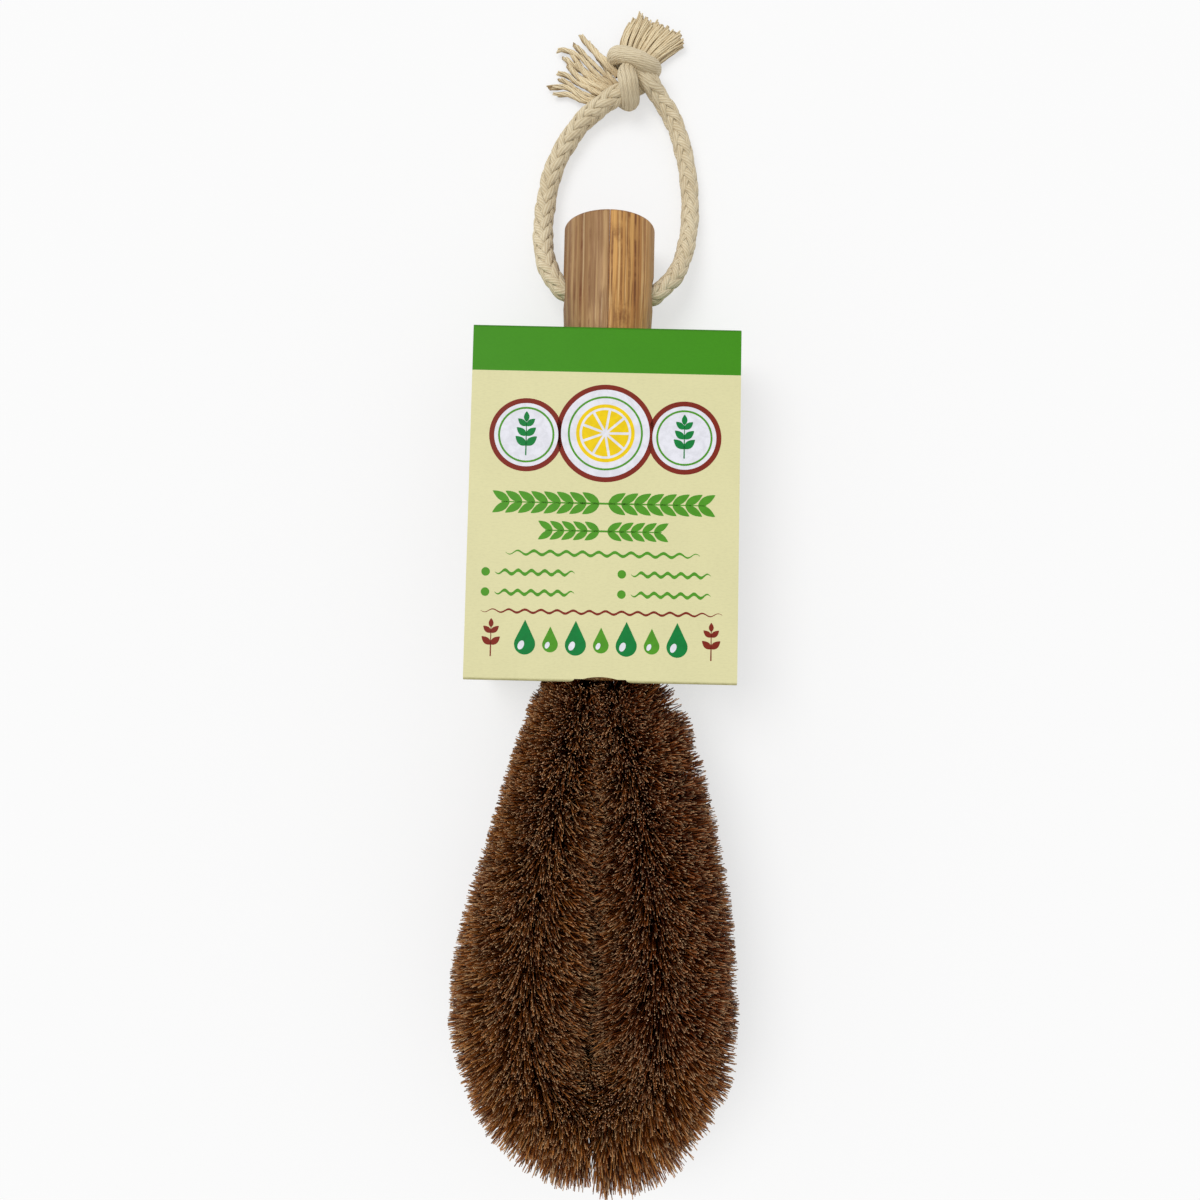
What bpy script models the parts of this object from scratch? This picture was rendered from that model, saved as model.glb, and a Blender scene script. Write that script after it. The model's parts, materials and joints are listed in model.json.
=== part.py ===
"""Dish brush with a turned wooden handle and a twisted-in-wire head, lying on a table.

The brush is modelled along its own axis, with the origin at the middle of the handle's lower
end: +Y runs to the hanging end, the head lies on the -Y side and +Z looks away from the table.
The empty lying_brush then tips it, so that it rests on the handle's rim and on its bristles.
All lengths are in metres.
"""

import math
import random

import bmesh
import bpy
from mathutils import Matrix, Vector

# Values that several pieces share
SEAT_GAP = 0.0003
CUT_OVERRUN = 0.003
WELD_DISTANCE = 0.000001
REST_FLAT = 0.0005

# Handle, turned from two glued staves
HANDLE_LENGTH = 0.1245
HANDLE_END_RADIUS = 0.0125
HANDLE_NECK_RADIUS = 0.0110
HANDLE_PARALLEL_LENGTH = 0.020
HANDLE_EDGE_ROUND = 0.001
HANDLE_FLARE_POWER = 4
HANDLE_FLARE_STEPS = 7
HANDLE_ROUND_STEPS = 3
HANDLE_SIDES = 48

# Cross hole for the hanging cord
CORD_RADIUS = 0.0025
CORD_HOLE_CLEARANCE = 0.0005
HOLE_FROM_HANGING_END = 0.0185
HOLE_MOUTH_WIDENING = 0.0020
HOLE_MOUTH_DEPTH = 0.0025
HOLE_SIDES = 24

# Twisted pair of wires, bent into one long loop
WIRE_RADIUS = 0.0008
WIRE_STRAND_GAP = 0.0005
WIRE_PITCH = 0.010
WIRE_POINTS_PER_TURN = 6
STEM_HALF_GAP = 0.0036
STEM_DEPTH = 0.029
SOCKET_FLOOR_GAP = 0.001
SOCKET_SIDES = 16
NECK_STRAIGHT_LENGTH = 0.0015
NECK_BEND_RADIUS = 0.030
LOOP_LENGTH = 0.112
LOOP_HALF_WIDTH = 0.0175

# Bristles, in slices along each branch of the loop. Beside the wire the head is cut unevenly: each
# pair there is a share of the branch and the reach at that place.
HEAD_GAP = 0.001
SLICES_PER_BRANCH = 6
ROWS_PER_SLICE = 3
STRANDS_AROUND = 10
BORE_STEPS_PER_ROW = 2
FIBRE_BUNDLE_RADIUS = 0.0040
FIBRE_NECK_RADIUS = 0.013
FIBRE_FAN_RADIUS = 0.018
FIBRE_FULL_RADIUS = 0.021
FIBRE_FAN_LENGTH = 0.014
FIBRE_SWELL_LENGTH = 0.075
LEFT_SIDE_REACH = (
    (0.00, 0.0120),
    (0.08, 0.0143),
    (0.20, 0.0149),
    (0.38, 0.0160),
    (0.50, 0.0185),
    (0.64, 0.0207),
    (0.74, 0.0206),
    (0.80, 0.0187),
    (0.92, 0.0188),
    (1.00, 0.0215),
)
RIGHT_SIDE_REACH = (
    (0.00, 0.0118),
    (0.07, 0.0125),
    (0.14, 0.0186),
    (0.30, 0.0196),
    (0.50, 0.0206),
    (0.70, 0.0213),
    (0.84, 0.0209),
    (0.94, 0.0234),
    (1.00, 0.0222),
)
STRAND_ROOT_WIDTH = 0.0015
STRAND_TIP_WIDTH = 0.0012
STRAND_LEAST_LENGTH = 0.0016
STRAND_INSET = 0.0002
STRAND_LEAN_SHARE = 0.02
MIDDLE_CLEARANCE = 0.0012
CROWD_RADIUS = 0.0055
REST_SAMPLES = 200

# Folded card sleeve
CARD_THICKNESS = 0.0005
CARD_FOLD_RADIUS = 0.0008
CARD_FOLD_STEPS = 3
SLEEVE_FROM_HANDLE_START = -0.0003
SLEEVE_LENGTH = 0.0926
SLEEVE_WIDTH = 0.070
SLEEVE_HEAD_HALF_DEPTH = 0.015
SLEEVE_PASS_GAP = 0.0003
SLEEVE_HOLE_LAND = 0.0002
SLEEVE_NOTCH_HEIGHT = 0.001
SLEEVE_HOLE_SIDES = 48
SLEEVE_END_TAPER = 0.0013
SLEEVE_FLAP_LENGTH = 0.012
SLEEVE_FLAP_TAPER = 0.004

# Hanging cord. A route point is the place past the middle of the cross hole, to the side and
# along the table, then the share of the hole's height that is left above the cord's lowest lie.
CORD_LIE_GAP = 0.0001
CORD_POINT_SPACING = 0.0038
CORD_GAP_SAMPLES = 5
LEFT_ROUTE = (
    (-0.0098, 0.0000, 1.00),
    (-0.0124, 0.0009, 0.98),
    (-0.0150, 0.0041, 0.89),
    (-0.0172, 0.0086, 0.71),
    (-0.0188, 0.0165, 0.38),
    (-0.0188, 0.0265, 0.10),
    (-0.0165, 0.0393, 0.00),
    (-0.0120, 0.0484, 0.00),
    (-0.0068, 0.0550, 0.02),
)
RIGHT_ROUTE = (
    (0.0098, -0.0002, 1.00),
    (0.0124, 0.0001, 0.98),
    (0.0152, 0.0027, 0.90),
    (0.0186, 0.0070, 0.70),
    (0.0211, 0.0135, 0.43),
    (0.0229, 0.0240, 0.12),
    (0.0227, 0.0350, 0.01),
    (0.0208, 0.0455, 0.00),
    (0.0173, 0.0550, 0.02),
)

# Knot. The left strand dips under the right one, comes over it from the right and leaves at the
# top. The right strand comes over the left one, turns under it and leaves at the left. A point is
# the place past the middle of the cross hole, then the height above the table.
CORD_KNOT_RADIUS = 0.0014
CORD_TAIL_RADIUS = 0.0019
KNOT_ENTRY_SHARES = (0.8, 0.2)
LEFT_KNOT = (
    (0.0010, 0.0592, 0.0054),
    (0.0055, 0.0612, 0.0050),
    (0.0085, 0.0642, 0.0027),
    (0.0112, 0.0672, 0.0029),
    (0.0132, 0.0680, 0.0058),
    (0.0108, 0.0671, 0.0094),
    (0.0055, 0.0675, 0.0106),
    (0.0014, 0.0692, 0.0088),
    (-0.0010, 0.0704, 0.0050),
    (0.0002, 0.0693, 0.0023),
    (0.0036, 0.0692, 0.0020),
    (0.0060, 0.0718, 0.00205),
)
RIGHT_KNOT = (
    (0.0132, 0.0605, 0.0042),
    (0.0105, 0.0632, 0.0064),
    (0.0080, 0.0656, 0.0069),
    (0.0057, 0.0666, 0.0070),
    (0.0041, 0.0640, 0.0077),
    (0.0044, 0.0600, 0.0090),
    (0.0052, 0.0565, 0.0074),
    (0.0050, 0.0566, 0.0036),
    (0.0027, 0.0606, 0.0018),
    (-0.0022, 0.0643, 0.00205),
)

# Frayed ends of the cord, each a flat fan of loose yarn
FRAY_SIDES = 16
FRAY_RING_SHARES = (0.0, 0.16, 0.36, 0.6, 0.82, 1.0)
FRAY_TIP_THICKNESS = 0.0024
FRAY_TOOTH_DEPTH = 0.0018
FRAY_BULGE_DEPTH = 0.0030
FRAY_OPENING_POWER = 0.7
FRAY_FLOOR_GAP = 0.0002
LEFT_FRAY_LENGTH = 0.0150
LEFT_FRAY_WIDTH = 0.0180
RIGHT_FRAY_LENGTH = 0.0150
RIGHT_FRAY_WIDTH = 0.0175

# Sizes that follow from the ones above
WIRE_HELIX_RADIUS = WIRE_RADIUS + WIRE_STRAND_GAP / 2
PAIR_RADIUS = WIRE_HELIX_RADIUS + WIRE_RADIUS
CORD_HOLE_RADIUS = CORD_RADIUS + CORD_HOLE_CLEARANCE
CORD_LIE_HEIGHT = CORD_RADIUS + CORD_LIE_GAP
HOLE_ALONG = HANDLE_LENGTH - HOLE_FROM_HANGING_END
STRAIGHT_SIDE_LENGTH = LOOP_LENGTH - LOOP_HALF_WIDTH - NECK_STRAIGHT_LENGTH
SPLAY_WIDTH = LOOP_HALF_WIDTH - STEM_HALF_GAP
SPLAY_ANGLE = 2 * math.atan(SPLAY_WIDTH / STRAIGHT_SIDE_LENGTH)
SIDE_BEND_RADIUS = STRAIGHT_SIDE_LENGTH / math.sin(SPLAY_ANGLE) - NECK_BEND_RADIUS
BRANCH_BENDS = (
    (NECK_BEND_RADIUS * SPLAY_ANGLE, 1 / NECK_BEND_RADIUS),
    (SIDE_BEND_RADIUS * SPLAY_ANGLE, -1 / SIDE_BEND_RADIUS),
    (LOOP_HALF_WIDTH * math.pi / 2, -1 / LOOP_HALF_WIDTH),
)
BRANCH_LENGTH = NECK_STRAIGHT_LENGTH + sum(length for length, _ in BRANCH_BENDS)
SLEEVE_END_HALF_DEPTH = HANDLE_END_RADIUS + SLEEVE_PASS_GAP + SLEEVE_HOLE_LAND + CARD_THICKNESS
SLEEVE_NOTCH_RADIUS = SLEEVE_HEAD_HALF_DEPTH + SLEEVE_NOTCH_HEIGHT
SLEEVE_END_ALONG = SLEEVE_FROM_HANDLE_START + SLEEVE_LENGTH


def smooth_step(share):
    """Ease from 0 to 1, level at both ends."""
    share = min(1.0, max(0.0, share))
    return share * share * (3 - 2 * share)


def blend(first, second, share):
    """The value that lies a share of the way from the first to the second."""
    return first + (second - first) * share


def handle_radius(along):
    """Radius of the turned handle at a distance from its lower end."""
    share = min(1.0, max(0.0, along / (HANDLE_LENGTH - HANDLE_PARALLEL_LENGTH)))
    return blend(HANDLE_NECK_RADIUS, HANDLE_END_RADIUS, share ** HANDLE_FLARE_POWER)


def branch_point(side, distance):
    """Centre of the wire pair and its direction away from the loop's inside.

    The distance runs along the pair from the handle's lower end and is negative inside it.
    """
    across = STEM_HALF_GAP
    along = -min(distance, NECK_STRAIGHT_LENGTH)
    heading = 0.0
    left = distance - NECK_STRAIGHT_LENGTH
    for length, curvature in BRANCH_BENDS:
        run = min(length, left)
        if run <= 0:
            break
        turned_to = heading + run * curvature
        across += (math.cos(heading) - math.cos(turned_to)) / curvature
        along -= (math.sin(turned_to) - math.sin(heading)) / curvature
        heading = turned_to
        left -= run
    outward = Vector((side * math.cos(heading), math.sin(heading), 0))
    return Vector((side * across, along, 0)), outward


def fibre_radius(distance):
    """Reach of the bristles from the wire's centre, at a distance along the pair."""
    fan = smooth_step(distance / FIBRE_FAN_LENGTH)
    swell = smooth_step(distance / FIBRE_SWELL_LENGTH)
    fanned = blend(FIBRE_NECK_RADIUS, FIBRE_FAN_RADIUS, fan)
    return fanned + (FIBRE_FULL_RADIUS - FIBRE_FAN_RADIUS) * swell


def reach_beside(side, distance):
    """Reach of the bristles straight away from the loop's inside, on one side of the head."""
    table = LEFT_SIDE_REACH if side < 0 else RIGHT_SIDE_REACH
    share = min(1.0, max(0.0, distance / BRANCH_LENGTH))
    for (before, first), (after, second) in zip(table, table[1:]):
        if share <= after:
            return blend(first, second, (share - before) / (after - before))
    return table[-1][1]


def lowest_tip():
    """Distance along the brush to the tips at the far end of the head."""
    lowest = 0.0
    for side in (-1, 1):
        for index in range(REST_SAMPLES):
            distance = BRANCH_LENGTH * index / (REST_SAMPLES - 1)
            place, outward = branch_point(side, distance)
            lowest = min(lowest, place.y + outward.y * reach_beside(side, distance))
    return lowest


def resting_tilt():
    """Angle by which the hanging end lies lower, once rim and trimmed bristles touch the table."""
    steepest = 0.0
    for index in range(REST_SAMPLES):
        distance = BRANCH_LENGTH * index / (REST_SAMPLES - 1)
        place, _ = branch_point(1, distance)
        rise = fibre_radius(distance) - REST_FLAT - HANDLE_END_RADIUS
        steepest = max(steepest, rise / (HANDLE_LENGTH - HANDLE_EDGE_ROUND - place.y))
    return math.atan(steepest)


TILT = resting_tilt()
RIM_RADIUS = HANDLE_END_RADIUS - HANDLE_EDGE_ROUND
AXIS_HEIGHT = (
    RIM_RADIUS * math.cos(TILT)
    + (HANDLE_LENGTH - HANDLE_EDGE_ROUND) * math.sin(TILT)
    + HANDLE_EDGE_ROUND
)
FAR_END = HANDLE_LENGTH * math.cos(TILT) + RIM_RADIUS * math.sin(TILT)
NEAR_END = lowest_tip() * math.cos(TILT)
MIDDLE_SHIFT = -(FAR_END + NEAR_END) / 2
HOLE_HEIGHT = AXIS_HEIGHT - HOLE_ALONG * math.sin(TILT)


def new_material(name, colour, roughness, metallic=0.0):
    """A Principled material in one plain finish."""
    material = bpy.data.materials.new(name)
    material.use_nodes = True
    shader = material.node_tree.nodes["Principled BSDF"]
    shader.inputs["Base Color"].default_value = (*colour, 1.0)
    shader.inputs["Roughness"].default_value = roughness
    shader.inputs["Metallic"].default_value = metallic
    return material


def place_object(name, data, parent, material=None):
    """Link new object data to the scene under a parent."""
    piece = bpy.data.objects.new(name, data)
    bpy.context.collection.objects.link(piece)
    piece.parent = parent
    if material:
        data.materials.append(material)
    return piece


def mesh_object(name, shape, parent, material=None):
    """Turn a bmesh into an object, with flat faces."""
    mesh = bpy.data.meshes.new(name)
    shape.to_mesh(mesh)
    shape.free()
    return place_object(name, mesh, parent, material)


def shade_round(piece, angle=math.radians(30)):
    """Shade a turned or bent piece smooth, apart from its real edges."""
    piece.data.shade_smooth()
    piece.data.set_sharp_from_angle(angle=angle)


def turned(profile, sides):
    """Closed solid turned about Y from (radius, along) points that start and end on the axis."""
    shape = bmesh.new()
    corners = [shape.verts.new((radius, along, 0)) for radius, along in profile]
    edges = [shape.edges.new(pair) for pair in zip(corners, corners[1:])]
    bmesh.ops.spin(
        shape, geom=corners + edges, cent=(0, 0, 0), axis=(0, 1, 0),
        angle=math.tau, steps=sides, use_merge=True,
    )
    bmesh.ops.remove_doubles(shape, verts=shape.verts, dist=WELD_DISTANCE)
    bmesh.ops.recalc_face_normals(shape, faces=shape.faces)
    return shape


def trim(shape, point, normal):
    """Cut off what lies behind a plane and close the cut."""
    geometry = list(shape.verts) + list(shape.edges) + list(shape.faces)
    result = bmesh.ops.bisect_plane(
        shape, geom=geometry, dist=WELD_DISTANCE, plane_co=point, plane_no=normal,
        clear_inner=True,
    )
    rim = [item for item in result["geom_cut"] if isinstance(item, bmesh.types.BMEdge)]
    bmesh.ops.holes_fill(shape, edges=rim, sides=0)
    bmesh.ops.recalc_face_normals(shape, faces=shape.faces)


def round_cutter(name, parent, profile, sides, place, turn=(0, 0, 0)):
    """Turned cutter, drawn as wires, that is no piece of the brush."""
    cutter = mesh_object(name, turned(profile, sides), parent)
    cutter.location = place
    cutter.rotation_euler = turn
    cutter.hide_render = True
    cutter.display_type = "WIRE"
    return cutter


def cut(piece, cutters):
    """Take cutters away from a piece, one Boolean each."""
    for cutter in cutters:
        modifier = piece.modifiers.new(cutter.name, "BOOLEAN")
        modifier.operation = "DIFFERENCE"
        modifier.object = cutter


def handle_profile():
    """Half outline of the handle: rounded rims, slim neck and straight hanging end."""
    points = [(0, 0)]
    for step in range(HANDLE_ROUND_STEPS + 1):
        turn = math.pi / 2 * step / HANDLE_ROUND_STEPS
        inset = HANDLE_EDGE_ROUND * (1 - math.sin(turn))
        rise = HANDLE_EDGE_ROUND * (1 - math.cos(turn))
        points.append((handle_radius(0) - inset, rise))
    flare_end = HANDLE_LENGTH - HANDLE_PARALLEL_LENGTH
    for step in range(1, HANDLE_FLARE_STEPS + 1):
        along = blend(HANDLE_EDGE_ROUND, flare_end, step / HANDLE_FLARE_STEPS)
        points.append((handle_radius(along), along))
    for step in range(HANDLE_ROUND_STEPS + 1):
        turn = math.pi / 2 * step / HANDLE_ROUND_STEPS
        inset = HANDLE_EDGE_ROUND * (1 - math.cos(turn))
        rise = HANDLE_EDGE_ROUND * (1 - math.sin(turn))
        points.append((HANDLE_END_RADIUS - inset, HANDLE_LENGTH - rise))
    points.append((0, HANDLE_LENGTH))
    return points


def cord_hole_cutter(parent):
    """Cross hole with a widened mouth at each side, as one turned cutter."""
    mouth_start = HANDLE_END_RADIUS - HOLE_MOUTH_DEPTH
    mouth_slope = HOLE_MOUTH_WIDENING / HOLE_MOUTH_DEPTH
    reach = HANDLE_END_RADIUS + CUT_OVERRUN
    wide = CORD_HOLE_RADIUS + mouth_slope * (reach - mouth_start)
    profile = (
        (0, -reach),
        (wide, -reach),
        (CORD_HOLE_RADIUS, -mouth_start),
        (CORD_HOLE_RADIUS, mouth_start),
        (wide, reach),
        (0, reach),
    )
    place = (0, HOLE_ALONG, 0)
    across = (0, 0, math.pi / 2)
    return round_cutter("cord_hole_cutter", parent, profile, HOLE_SIDES, place, across)


def socket_cutter(parent, side, word):
    """Blind socket for one stem of the wire loop, bored from the handle's lower end."""
    radius = PAIR_RADIUS + SEAT_GAP
    depth = STEM_DEPTH + SOCKET_FLOOR_GAP
    profile = ((0, -CUT_OVERRUN), (radius, -CUT_OVERRUN), (radius, depth), (0, depth))
    place = (side * STEM_HALF_GAP, 0, 0)
    return round_cutter(f"socket_cutter_{word}", parent, profile, SOCKET_SIDES, place)


def make_stave(parent, side, word, hole, material):
    """One of the two glued halves of the handle, bored for the cord and for its wire stem."""
    shape = turned(handle_profile(), HANDLE_SIDES)
    trim(shape, (side * SEAT_GAP / 2, 0, 0), (side, 0, 0))
    stave = mesh_object(f"handle_stave_{word}", shape, parent, material)
    cut(stave, (hole, socket_cutter(parent, side, word)))
    shade_round(stave)
    return stave


def make_wire(parent, name, phase, material):
    """One wire of the twisted pair, from its left stem round the loop to its right stem."""
    half_length = STEM_DEPTH + BRANCH_LENGTH
    turns = 2 * half_length / WIRE_PITCH
    count = round(turns * WIRE_POINTS_PER_TURN) + 1
    curve = bpy.data.curves.new(name, "CURVE")
    curve.dimensions = "3D"
    curve.bevel_depth = WIRE_RADIUS
    curve.bevel_resolution = 0
    curve.use_fill_caps = True
    line = curve.splines.new("POLY")
    line.points.add(count - 1)
    for index, point in enumerate(line.points):
        travelled = 2 * half_length * index / (count - 1)
        side = -1 if travelled < half_length else 1
        distance = min(travelled, 2 * half_length - travelled) - STEM_DEPTH
        place, outward = branch_point(side, distance)
        turn = phase + math.tau * travelled / WIRE_PITCH
        place += WIRE_HELIX_RADIUS * (outward * math.cos(turn) + Vector((0, 0, math.sin(turn))))
        point.co = (*place, 1)
    return place_object(name, curve, parent, material)


def bundle_ring(shape, side, distance, radius, turn):
    """Ring of corners square to the wire pair."""
    place, outward = branch_point(side, distance)
    ring = []
    for index in range(STRANDS_AROUND):
        angle = turn + math.tau * (index - 0.5) / STRANDS_AROUND
        arm = outward * math.cos(angle) + Vector((0, 0, math.sin(angle)))
        ring.append(shape.verts.new(place + radius * arm))
    return ring


def join_rings(shape, first, second):
    """Band of faces between two rings with as many corners."""
    faces = []
    for index in range(len(first)):
        after = (index + 1) % len(first)
        corners = (first[index], first[after], second[after], second[index])
        faces.append(shape.faces.new(corners))
    return faces


def strand_reach(side, distance, place, arm, angle):
    """How far a strand reaches from the wire's centre before it meets the others."""
    beside = max(0.0, math.cos(angle)) ** 2
    reach = blend(fibre_radius(distance), reach_beside(side, distance), beside)
    towards_middle = -side * arm.x
    if towards_middle > 0:
        reach = min(reach, (abs(place.x) - MIDDLE_CLEARANCE) / towards_middle)
    on_end_bend = place.y < -(LOOP_LENGTH - LOOP_HALF_WIDTH)
    if on_end_bend and math.cos(angle) < 0:
        reach = min(reach, (LOOP_HALF_WIDTH - CROWD_RADIUS) / -math.cos(angle))
    return reach


def grow_strand(shape, face, side, distance, bundle, angle, dice):
    """Draw one tapered square strand out of a face of the fibre bundle."""
    place, outward = branch_point(side, distance)
    path = Vector((0, 0, 1)).cross(outward)
    arm = outward * math.cos(angle) + Vector((0, 0, math.sin(angle)))
    reach = strand_reach(side, distance, place, arm, angle)
    if reach - bundle < STRAND_LEAST_LENGTH:
        return 0
    across = arm.cross(path)
    bmesh.ops.inset_individual(shape, faces=[face], thickness=STRAND_INSET)
    tip = bmesh.ops.extrude_discrete_faces(shape, faces=[face])["faces"][0]
    lean = path * dice.uniform(-1, 1) + across * dice.uniform(-1, 1)
    tip_centre = place + arm * reach + lean * STRAND_LEAN_SHARE * (reach - bundle)
    root_centre = place + arm * bundle
    roots = {corner for edge in tip.edges for linked in edge.link_faces
             for corner in linked.verts} - set(tip.verts)
    for corners, centre, width in (
        (roots, root_centre, STRAND_ROOT_WIDTH),
        (tip.verts, tip_centre, STRAND_TIP_WIDTH),
    ):
        for corner in corners:
            offset = corner.co - place
            forward = math.copysign(width / 2, offset.dot(path))
            sideways = math.copysign(width / 2, offset.dot(across))
            corner.co = centre + path * forward + across * sideways
    return 1


def make_bristles(parent, side, word, number, floor, material):
    """One slice of the head: fibre bundle round the wires with its strands, flat on the table."""
    pitch = (BRANCH_LENGTH - HEAD_GAP) / SLICES_PER_BRANCH
    start = HEAD_GAP + (number - 1) * pitch + SEAT_GAP / 2
    length = pitch - SEAT_GAP
    row_turn = math.pi / STRANDS_AROUND
    first_turn = row_turn * ((number - 1) * ROWS_PER_SLICE - 0.5)
    bore_radius = (PAIR_RADIUS + SEAT_GAP) / math.cos(row_turn)
    dice = random.Random(f"{word} {number}")
    shape = bmesh.new()
    outer, bundles = [], []
    for row in range(ROWS_PER_SLICE + 1):
        distance = start + length * row / ROWS_PER_SLICE
        place, _ = branch_point(side, distance)
        on_side = place.y > -(LOOP_LENGTH - LOOP_HALF_WIDTH)
        room = abs(place.x) - SEAT_GAP / 2 if on_side else FIBRE_BUNDLE_RADIUS
        bundles.append(min(FIBRE_BUNDLE_RADIUS, room))
        outer.append(bundle_ring(shape, side, distance, bundles[-1], first_turn + row * row_turn))
    bore = []
    bore_steps = ROWS_PER_SLICE * BORE_STEPS_PER_ROW
    for step in range(bore_steps + 1):
        distance = start + length * step / bore_steps
        turn = first_turn + row_turn * step / BORE_STEPS_PER_ROW
        bore.append(bundle_ring(shape, side, distance, bore_radius, turn))
    for first, second in zip(bore, bore[1:]):
        join_rings(shape, second, first)
    join_rings(shape, bore[0], outer[0])
    join_rings(shape, outer[-1], bore[-1])
    strands = 0
    for row in range(ROWS_PER_SLICE):
        distance = start + length * (row + 0.5) / ROWS_PER_SLICE
        bundle = max(bundles[row], bundles[row + 1])
        for index, face in enumerate(join_rings(shape, outer[row], outer[row + 1])):
            angle = first_turn + row_turn * (row + 0.5 + 2 * index)
            strands += grow_strand(shape, face, side, distance, bundle, angle, dice)
    bmesh.ops.recalc_face_normals(shape, faces=shape.faces)
    trim(shape, *floor)
    mesh_object(f"bristles_{word}_{number}", shape, parent, material)
    return strands


def folded_line(corners):
    """Outline through corners of (along, up, inset) that takes each fold round a small bend."""
    points = [Vector(corners[0])]
    for before, corner, after in zip(corners, corners[1:], corners[2:]):
        corner = Vector(corner)
        back = Vector(before) - corner
        ahead = Vector(after) - corner
        angle = back.to_2d().angle(ahead.to_2d())
        run = CARD_FOLD_RADIUS / math.tan(angle / 2)
        start = corner + back * (run / back.to_2d().length)
        end = corner + ahead * (run / ahead.to_2d().length)
        to_centre = (start + end) / 2 - corner
        centre = corner + to_centre * (CARD_FOLD_RADIUS / math.sin(angle / 2) / to_centre.to_2d().length)
        first = (start - centre).to_2d()
        sweep = (end - centre).to_2d().angle_signed(first)
        for step in range(CARD_FOLD_STEPS + 1):
            share = step / CARD_FOLD_STEPS
            arm = Matrix.Rotation(sweep * share, 2) @ first
            inset = blend(start.z, end.z, share)
            points.append(Vector((centre.x + arm.x, centre.y + arm.y, inset)))
    points.append(Vector(corners[-1]))
    return points


def make_sleeve(parent, material):
    """Printed card folded round the handle, with a glue flap inside its back panel."""
    start = SLEEVE_FROM_HANDLE_START
    flap_end = start + SLEEVE_FLAP_LENGTH
    step_in = CARD_THICKNESS + SEAT_GAP
    head_half = SLEEVE_HEAD_HALF_DEPTH
    end_half = SLEEVE_END_HALF_DEPTH
    flap_half = blend(head_half, end_half, SLEEVE_FLAP_LENGTH / SLEEVE_LENGTH)
    corners = (
        (start, -head_half, 0),
        (SLEEVE_END_ALONG, -end_half, 0),
        (SLEEVE_END_ALONG, end_half, 0),
        (start, head_half, 0),
        (start, -head_half + step_in, SLEEVE_END_TAPER),
        (flap_end, -flap_half + step_in, SLEEVE_FLAP_TAPER),
    )
    shape = bmesh.new()
    left, right = [], []
    for point in folded_line(corners):
        half_width = SLEEVE_WIDTH / 2 - point.z
        left.append(shape.verts.new((-half_width, point.x, point.y)))
        right.append(shape.verts.new((half_width, point.x, point.y)))
    for index in range(len(left) - 1):
        shape.faces.new((left[index], left[index + 1], right[index + 1], right[index]))
    sleeve = mesh_object("card_sleeve", shape, parent, material)
    wall = sleeve.modifiers.new("card", "SOLIDIFY")
    wall.thickness = CARD_THICKNESS
    wall.offset = -1
    wall.use_even_offset = True
    cut(sleeve, sleeve_cutters(parent))
    shade_round(sleeve)
    return sleeve


def sleeve_cutters(parent):
    """Hole for the handle at the far end, and the wide hole that notches the folds at the head."""
    pass_radius = HANDLE_END_RADIUS + SLEEVE_PASS_GAP
    inside = SLEEVE_END_ALONG - CARD_FOLD_RADIUS - CARD_THICKNESS
    outside = SLEEVE_END_ALONG + CUT_OVERRUN
    end_profile = ((0, inside), (pass_radius, inside), (pass_radius, outside), (0, outside))
    wide = SLEEVE_NOTCH_RADIUS
    below = SLEEVE_FROM_HANDLE_START - CUT_OVERRUN
    above = SLEEVE_FROM_HANDLE_START + CARD_FOLD_RADIUS
    head_profile = ((0, below), (wide, below), (wide, above), (0, above))
    reach = SLEEVE_HEAD_HALF_DEPTH + CUT_OVERRUN
    notch_profile = ((0, -reach), (wide, -reach), (wide, reach), (0, reach))
    notch_place = (0, SLEEVE_FROM_HANDLE_START - SLEEVE_HEAD_HALF_DEPTH, 0)
    middle = (0, 0, 0)
    upright = (math.pi / 2, 0, 0)
    sides = SLEEVE_HOLE_SIDES
    return (
        round_cutter("sleeve_end_hole_cutter", parent, end_profile, sides, middle),
        round_cutter("sleeve_head_hole_cutter", parent, head_profile, sides, middle),
        round_cutter("sleeve_notch_cutter", parent, notch_profile, sides, notch_place, upright),
    )


def route_points(route):
    """Chosen points of the cord as places from the middle of the cross hole."""
    fall = HOLE_HEIGHT - CORD_LIE_HEIGHT
    return [Vector((x, y, (share - 1) * fall)) for x, y, share in route]


def knot_points(knot):
    """Chosen points of the knot as places from the middle of the cross hole."""
    return [Vector((x, y, height - HOLE_HEIGHT)) for x, y, height in knot]


def strand_radii(route, knot):
    """Radius at each point of one strand: full in the loop, drawn tight in the knot."""
    radii = [CORD_RADIUS] * (len(route) - 1)
    radii += [blend(CORD_KNOT_RADIUS, CORD_RADIUS, share) for share in KNOT_ENTRY_SHARES]
    radii += [CORD_KNOT_RADIUS] * (len(knot) - 2)
    return radii + [CORD_TAIL_RADIUS]


def smooth_line(points, radii):
    """Points and radii on a centripetal curve through the given ones, closer where they are far."""
    places, widths = [points[0]], [radii[0]]
    for index in range(len(points) - 1):
        first, second = points[index], points[index + 1]
        before = points[index - 1] if index else 2 * first - second
        after = points[index + 2] if index + 2 < len(points) else 2 * second - first
        knots = [0.0]
        for one, other in ((before, first), (first, second), (second, after)):
            knots.append(knots[-1] + math.sqrt((other - one).length))
        steps = math.ceil((second - first).length / CORD_POINT_SPACING)
        for step in range(1, steps + 1):
            share = step / steps
            at = blend(knots[1], knots[2], share)
            level = [before, first, second, after]
            for depth in (1, 2):
                level = [
                    blend(level[i], level[i + 1], knot_share(knots, i, depth, at))
                    for i in range(len(level) - 1)
                ]
            places.append(blend(level[0], level[1], share))
            widths.append(blend(radii[index], radii[index + 1], share))
    return places, widths


def knot_share(knots, index, depth, at):
    """Share of the way between two knots of the curve, a number of knots apart."""
    start = knots[index]
    end = knots[index + depth]
    return (at - start) / (end - start)


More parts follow.
